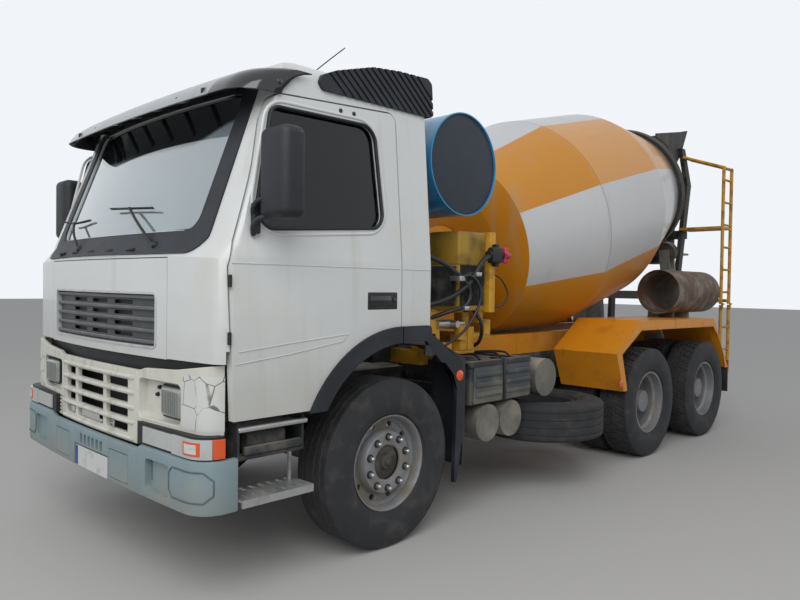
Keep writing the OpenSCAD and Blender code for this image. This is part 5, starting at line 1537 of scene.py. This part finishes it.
def oil_cooler():
    """The oil cooler with its valve, hoses and post, and the pump set below."""
    body = boxes((-1.04, 0.79, 1.775, -0.73, 1.075, 2.02, 0.018, 3),
                 (-1.04, 0.79, 1.455, -0.73, 1.06, 1.49, 0.006),
                 (-0.755, 0.79, 1.48, -0.73, 1.07, 1.78, 0.005))
    fit("cooler_tank", body, "chassis", "yellow", finish="yellow_dull")
    core = boxes((-1.035, 0.80, 1.485, -0.752, 1.045, 1.78, 0.004))
    core += [block((-1.035 + 0.0155 * k, 1.03, 1.492), (-1.0305 + 0.0155 * k, 1.066, 1.772), 0.0012, 1)
             for k in range(19)]
    core += [block((-0.733, 0.80 + 0.0155 * k, 1.492), (-0.712, 0.8045 + 0.0155 * k, 1.772), 0.0012, 1)
             for k in range(17)]
    fit("cooler_core", core, "chassis", "yellow", finish="black_dusty")
    post = boxes((-1.115, 1.035, 1.44, -1.045, 1.105, 2.028, 0.004),
                 (-1.115, 0.80, 1.96, -1.045, 1.04, 2.02, 0.004),
                 (-1.12, 0.43, 1.30, -1.04, 0.83, 1.36, 0.006),
                 (-1.12, 0.78, 1.30, -1.04, 0.86, 1.45, 0.006),
                 (-1.12, 0.78, 1.43, -0.70, 0.86, 1.46, 0.005),
                 (-1.25, 0.35, 1.25, -1.04, 0.43, 1.36, 0.006),
                 (-1.25, 0.35, RAIL_TOP, -1.10, 0.43, 1.25, 0.006),
                 (-1.11, 0.95, 1.36, -1.05, 1.0, 1.47, 0.004))
    fit("cooler_post", post, "chassis", "yellow", finish="yellow_bright")
    valve = [block((-1.125, 1.10, 1.80), (-1.02, 1.165, 1.915), 0.014, 3),
             block((-1.10, 1.11, 1.775), (-1.06, 1.155, 1.94), 0.01, 2),
             stub(0.026, 0.03, (-1.02, 1.13, 1.865), (1, 0, 0), 24),
             stub(0.03, 0.04, (-1.12, 1.13, 1.86), (-1, 0, 0), 24)]
    fit("cooler_valve", valve, "chassis", "yellow", finish="rubber")
    lobes = [(0.052 + 0.010 * math.cos(5 * 2 * math.pi * k / 60), 2 * math.pi * k / 60) for k in range(60)]
    knob = prism("x", [(1.13 + r * math.cos(a), 1.86 + r * math.sin(a)) for r, a in lobes], -1.198, -1.158)
    dress(named(softened(knob, 0.006), "cooler_knob"), "chassis", "yellow", finish="knob_red")
    clips = boxes((-0.90, 1.06, 1.70, -0.84, 1.15, 1.73, 0.004),
                  (-0.72, 1.05, 1.665, -0.66, 1.145, 1.70, 0.004),
                  (-0.80, 1.04, 1.46, -0.745, 1.125, 1.49, 0.004))
    fit("hose_clips", clips, "chassis", "yellow", finish="chrome")
    fit("cooler_hoses", [pipe(points, radius) for radius, points in HOSES], "chassis", "yellow",
        finish="hose")
    low = [block((-0.66, 0.93, 1.20), (-0.56, 0.97, 1.45), 0.004),
           block((-0.62, 0.80, 1.16), (-0.54, 0.97, 1.30), 0.006),
           block((-1.08, 0.78, 1.13), (-0.60, 0.95, 1.155), 0.004),
           block((-0.98, 0.86, 1.155), (-0.90, 0.96, 1.27), 0.006),
           block((-1.06, 0.88, 1.155), (-0.99, 0.96, 1.33), 0.006),
           block((-0.82, 0.86, 1.155), (-0.68, 0.95, 1.22), 0.006),
           stub(0.045, 0.11, (-0.91, 0.95, 1.24), (0, 0, 1), 28),
           revolved(((0.0005, 0.0), (0.042, 0.0), (0.042, 0.1), (0.036, 0.108), (0.0005, 0.108)),
                    at(-1.20, 0.95, 1.27), (0, 0, 1), 28),
           block((-1.24, 0.62, 1.24), (-1.05, 0.97, 1.275), 0.004),
           block((-0.62, 0.43, 1.07), (-0.54, 0.90, 1.17), 0.006),
           block((-1.24, 0.43, 1.10), (-1.16, 0.66, 1.27), 0.006),
           block((-1.08, 0.43, 1.07), (-0.98, 0.80, 1.155), 0.006)]
    fit("pump_set", low, "chassis", "yellow", finish="yellow_bright")
    rods = [revolved(((0.0005, 0.0), (0.03, 0.0), (0.03, 0.16), (0.018, 0.17), (0.018, 0.30),
                      (0.0005, 0.30)), at(-0.62, 0.97, 1.36), (-1, 0, 0), 28),
            stub(0.024, 0.06, (-0.76, 0.99, 1.36), (0, 1, 0), 24)]
    fit("pump_rods", rods, "chassis", "yellow", finish="chrome")
    back = boxes((-0.40, 0.50, 1.45, -0.36, 0.56, 2.05, 0.004),
                 (-0.42, 0.45, 1.98, -0.36, 0.95, 2.02, 0.004),
                 (-0.42, 0.88, 1.30, -0.36, 0.94, 2.0, 0.004),
                 (-0.60, 0.43, 1.07, -0.36, 0.60, 1.35, 0.02),
                 (-0.56, 0.55, 1.55, -0.42, 0.80, 1.72, 0.03, 3),
                 (-0.52, 0.62, 1.70, -0.44, 0.76, 1.92, 0.02, 3))
    fit("cab_back_frame", back, "chassis", "frame", finish="black_dusty")


def battery_box():
    """The battery box with its ribbed cover and strap."""
    case = boxes((-1.495, 0.535, 0.79, -0.765, 1.165, 1.075, 0.014, 3),
                 (-1.40, 0.40, 0.82, -0.86, 0.54, 0.96, 0.01),
                 (-1.50, 1.12, 1.055, -0.76, 1.178, 1.10, 0.006),
                 (-1.50, 0.53, 1.055, -0.76, 0.60, 1.10, 0.006),
                 (-1.50, 0.56, 1.06, -1.44, 1.15, 1.092, 0.006),
                 (-0.82, 0.56, 1.06, -0.76, 1.15, 1.092, 0.006))
    fit("battery_case", case, "chassis", "box_grey", "battery_box", finish="black_dusty")
    cover = boxes((-1.49, 1.163, 0.80, -0.80, 1.176, 1.062, 0.006, 2))
    for x in (-1.48, -1.12):
        for z in (0.845, 0.915, 0.985):
            cover.append(block((x, 1.170, z), (x + 0.30, 1.189, z + 0.035), 0.009, 3))
    fit("battery_cover", cover, "chassis", "box_grey", finish="box_dark")
    strap = boxes((-1.165, 1.172, 0.795, -1.135, 1.186, 1.098, 0.004),
                  (-1.165, 1.05, 1.092, -1.135, 1.186, 1.104, 0.004))
    strap += [pipe([(x, 1.1, 1.10), (x - 0.06, 1.0, 1.125), (x - 0.02, 0.85, 1.12), (x + 0.05, 0.7, 1.10)],
                   0.009) for x in (-0.95, -1.20, -1.32)]
    fit("battery_strap", strap, "chassis", "box_grey", finish="hose")


def small_fittings():
    """Reflectors, rear flaps and the brackets on the cowl."""
    for tag, _, turn in SIDES:
        disc = revolved(((0.0005, 0.0), (0.036, 0.0), (0.036, 0.006), (0.030, 0.010), (0.0005, 0.011)),
                        at(-0.612, 1.1955, 1.024), (0, 1, 0), 28)
        fit(f"guard_reflector_{tag}", [turn(disc)], "chassis", "black_plastic", finish="orange_lens")
        flap = block((-5.5265, 0.634, 0.432), (-5.500, 1.2455, 0.80), 0.003)
        fit(f"rear_flap_{tag}", [turn(flap)], "chassis", "yellow", finish="rubber")
        disc = revolved(((0.0005, 0.0), (0.034, 0.0), (0.034, 0.004), (0.028, 0.007), (0.0005, 0.008)),
                        at(-2.835, 1.2485, 0.765), (0, 1, 0), 28)
        fit(f"rear_reflector_{tag}", [turn(disc)], "chassis", "yellow", finish="orange_lens")
    brackets = []
    for y in (0.42, 0.16, -0.10, -0.36, -0.62):
        x = 1.262 + 0.06 * (1 - (y / 1.155) ** 2)
        brackets.append(block((x - 0.04, y - 0.045, 1.80), (x + 0.022, y + 0.045, 1.815), 0.004))
        brackets.append(block((x - 0.03, y - 0.030, 1.775), (x + 0.018, y - 0.022, 1.803), 0.003))
        brackets.append(block((x - 0.03, y + 0.022, 1.775), (x + 0.018, y + 0.030, 1.803), 0.003))
    fit("cowl_brackets", brackets, "chassis", "black_plastic", finish="rubber")


cab, door, hatch = cab_pieces()
dress(named(cab, "cab"), "chassis", "cab_white", "cab_shell", sharp=CAB_SHARP)
dress_pair(door, "door_skin_{}", "door_{}", "cab_white", "door_{}", sharp=CAB_SHARP)
dress(named(hatch, "hatch"), "front_hatch", "cab_white", "front_hatch", sharp=CAB_SHARP)
small_fittings()
water_tank()
drum_gear()
oil_cooler()
battery_box()
front_panel()
headlamps()
turn_lamps()
bumper()
steps()
dark_firewall()
cab_glazing()
surround()
flares()
visor()
vanes()
mirrors()
wipers()
grille()
door_details()
aerial()


# stage, light and camera


WORLD_LEVEL = 0.46
WORLD_SEEN = 0.95
KEY_POWER = 900
FRONT_POWER = 110
FLOOR_REACH = 60.0


def studio():
    """A plain floor, and a bright sky that lights less than it shows."""
    floor_mesh = bpy.data.meshes.new("floor")
    floor_mesh.from_pydata([(x * FLOOR_REACH, y * FLOOR_REACH, 0)
                            for x, y in ((-1, -1), (1, -1), (1, 1), (-1, 1))], [], [(0, 1, 2, 3)])
    floor = bpy.data.objects.new("floor", floor_mesh)
    bpy.context.scene.collection.objects.link(floor)
    s = Shader("floor")
    s.put(s.shader.inputs["Base Color"], (0.50, 0.49, 0.475, 1))
    s.shader.inputs["Roughness"].default_value = 0.9
    floor_mesh.materials.append(s.material)
    world = bpy.data.worlds.new("studio")
    world.use_nodes = True
    bpy.context.scene.world = world
    tree = world.node_tree
    background = tree.nodes["Background"]
    path = tree.nodes.new("ShaderNodeLightPath")
    seen = tree.nodes.new("ShaderNodeMath")
    seen.operation = "MAXIMUM"
    tree.links.new(path.outputs["Is Camera Ray"], seen.inputs[0])
    tree.links.new(path.outputs["Is Transmission Ray"], seen.inputs[1])
    glossy = tree.nodes.new("ShaderNodeMath")
    glossy.operation = "MAXIMUM"
    tree.links.new(seen.outputs[0], glossy.inputs[0])
    tree.links.new(path.outputs["Is Glossy Ray"], glossy.inputs[1])
    level = tree.nodes.new("ShaderNodeMix")
    tree.links.new(glossy.outputs[0], level.inputs["Factor"])
    level.inputs["A"].default_value = WORLD_LEVEL
    level.inputs["B"].default_value = WORLD_SEEN
    tree.links.new(level.outputs["Result"], background.inputs["Strength"])
    background.inputs["Color"].default_value = (0.93, 0.96, 1.0, 1)


def lamp(name, place, target, size, power):
    data = bpy.data.lights.new(name, "AREA")
    data.shape = "RECTANGLE"
    data.size, data.size_y = size
    data.energy = power
    light = bpy.data.objects.new(name, data)
    bpy.context.scene.collection.objects.link(light)
    light.location = place
    light.rotation_euler = (Vector(target) - Vector(place)).to_track_quat("-Z", "Y").to_euler()


SENSOR_WIDTH = 36.0
FOCAL_PIXELS = 688.49
PHOTO_WIDTH = 800
CAMERA_PLACE = (2.9997, 4.1712, 1.632)
CAMERA_RIGHT = Vector((-0.70148, 0.71255, 0.014367))
CAMERA_UP = Vector((-0.005514, -0.025584, 0.99966))
CAMERA_AHEAD = Vector((-0.71267, -0.70116, -0.021876))


def shoot():
    """The camera that was fitted to the photo."""
    data = bpy.data.cameras.new("camera")
    data.sensor_width = SENSOR_WIDTH
    data.lens = FOCAL_PIXELS / PHOTO_WIDTH * SENSOR_WIDTH
    camera = bpy.data.objects.new("camera", data)
    bpy.context.scene.collection.objects.link(camera)
    turn = Matrix((CAMERA_RIGHT, CAMERA_UP, -CAMERA_AHEAD)).transposed()
    camera.matrix_world = Matrix.Translation(at(*CAMERA_PLACE)) @ turn.to_4x4()
    bpy.context.scene.camera = camera


studio()
lamp("key", at(7, 7, 9), at(-1, 0, 1), (9, 9), KEY_POWER)
lamp("front", at(12, -2, 5), at(0, 0, 1), (7, 5), FRONT_POWER)
shoot()
bpy.context.scene.view_settings.view_transform = "Standard"
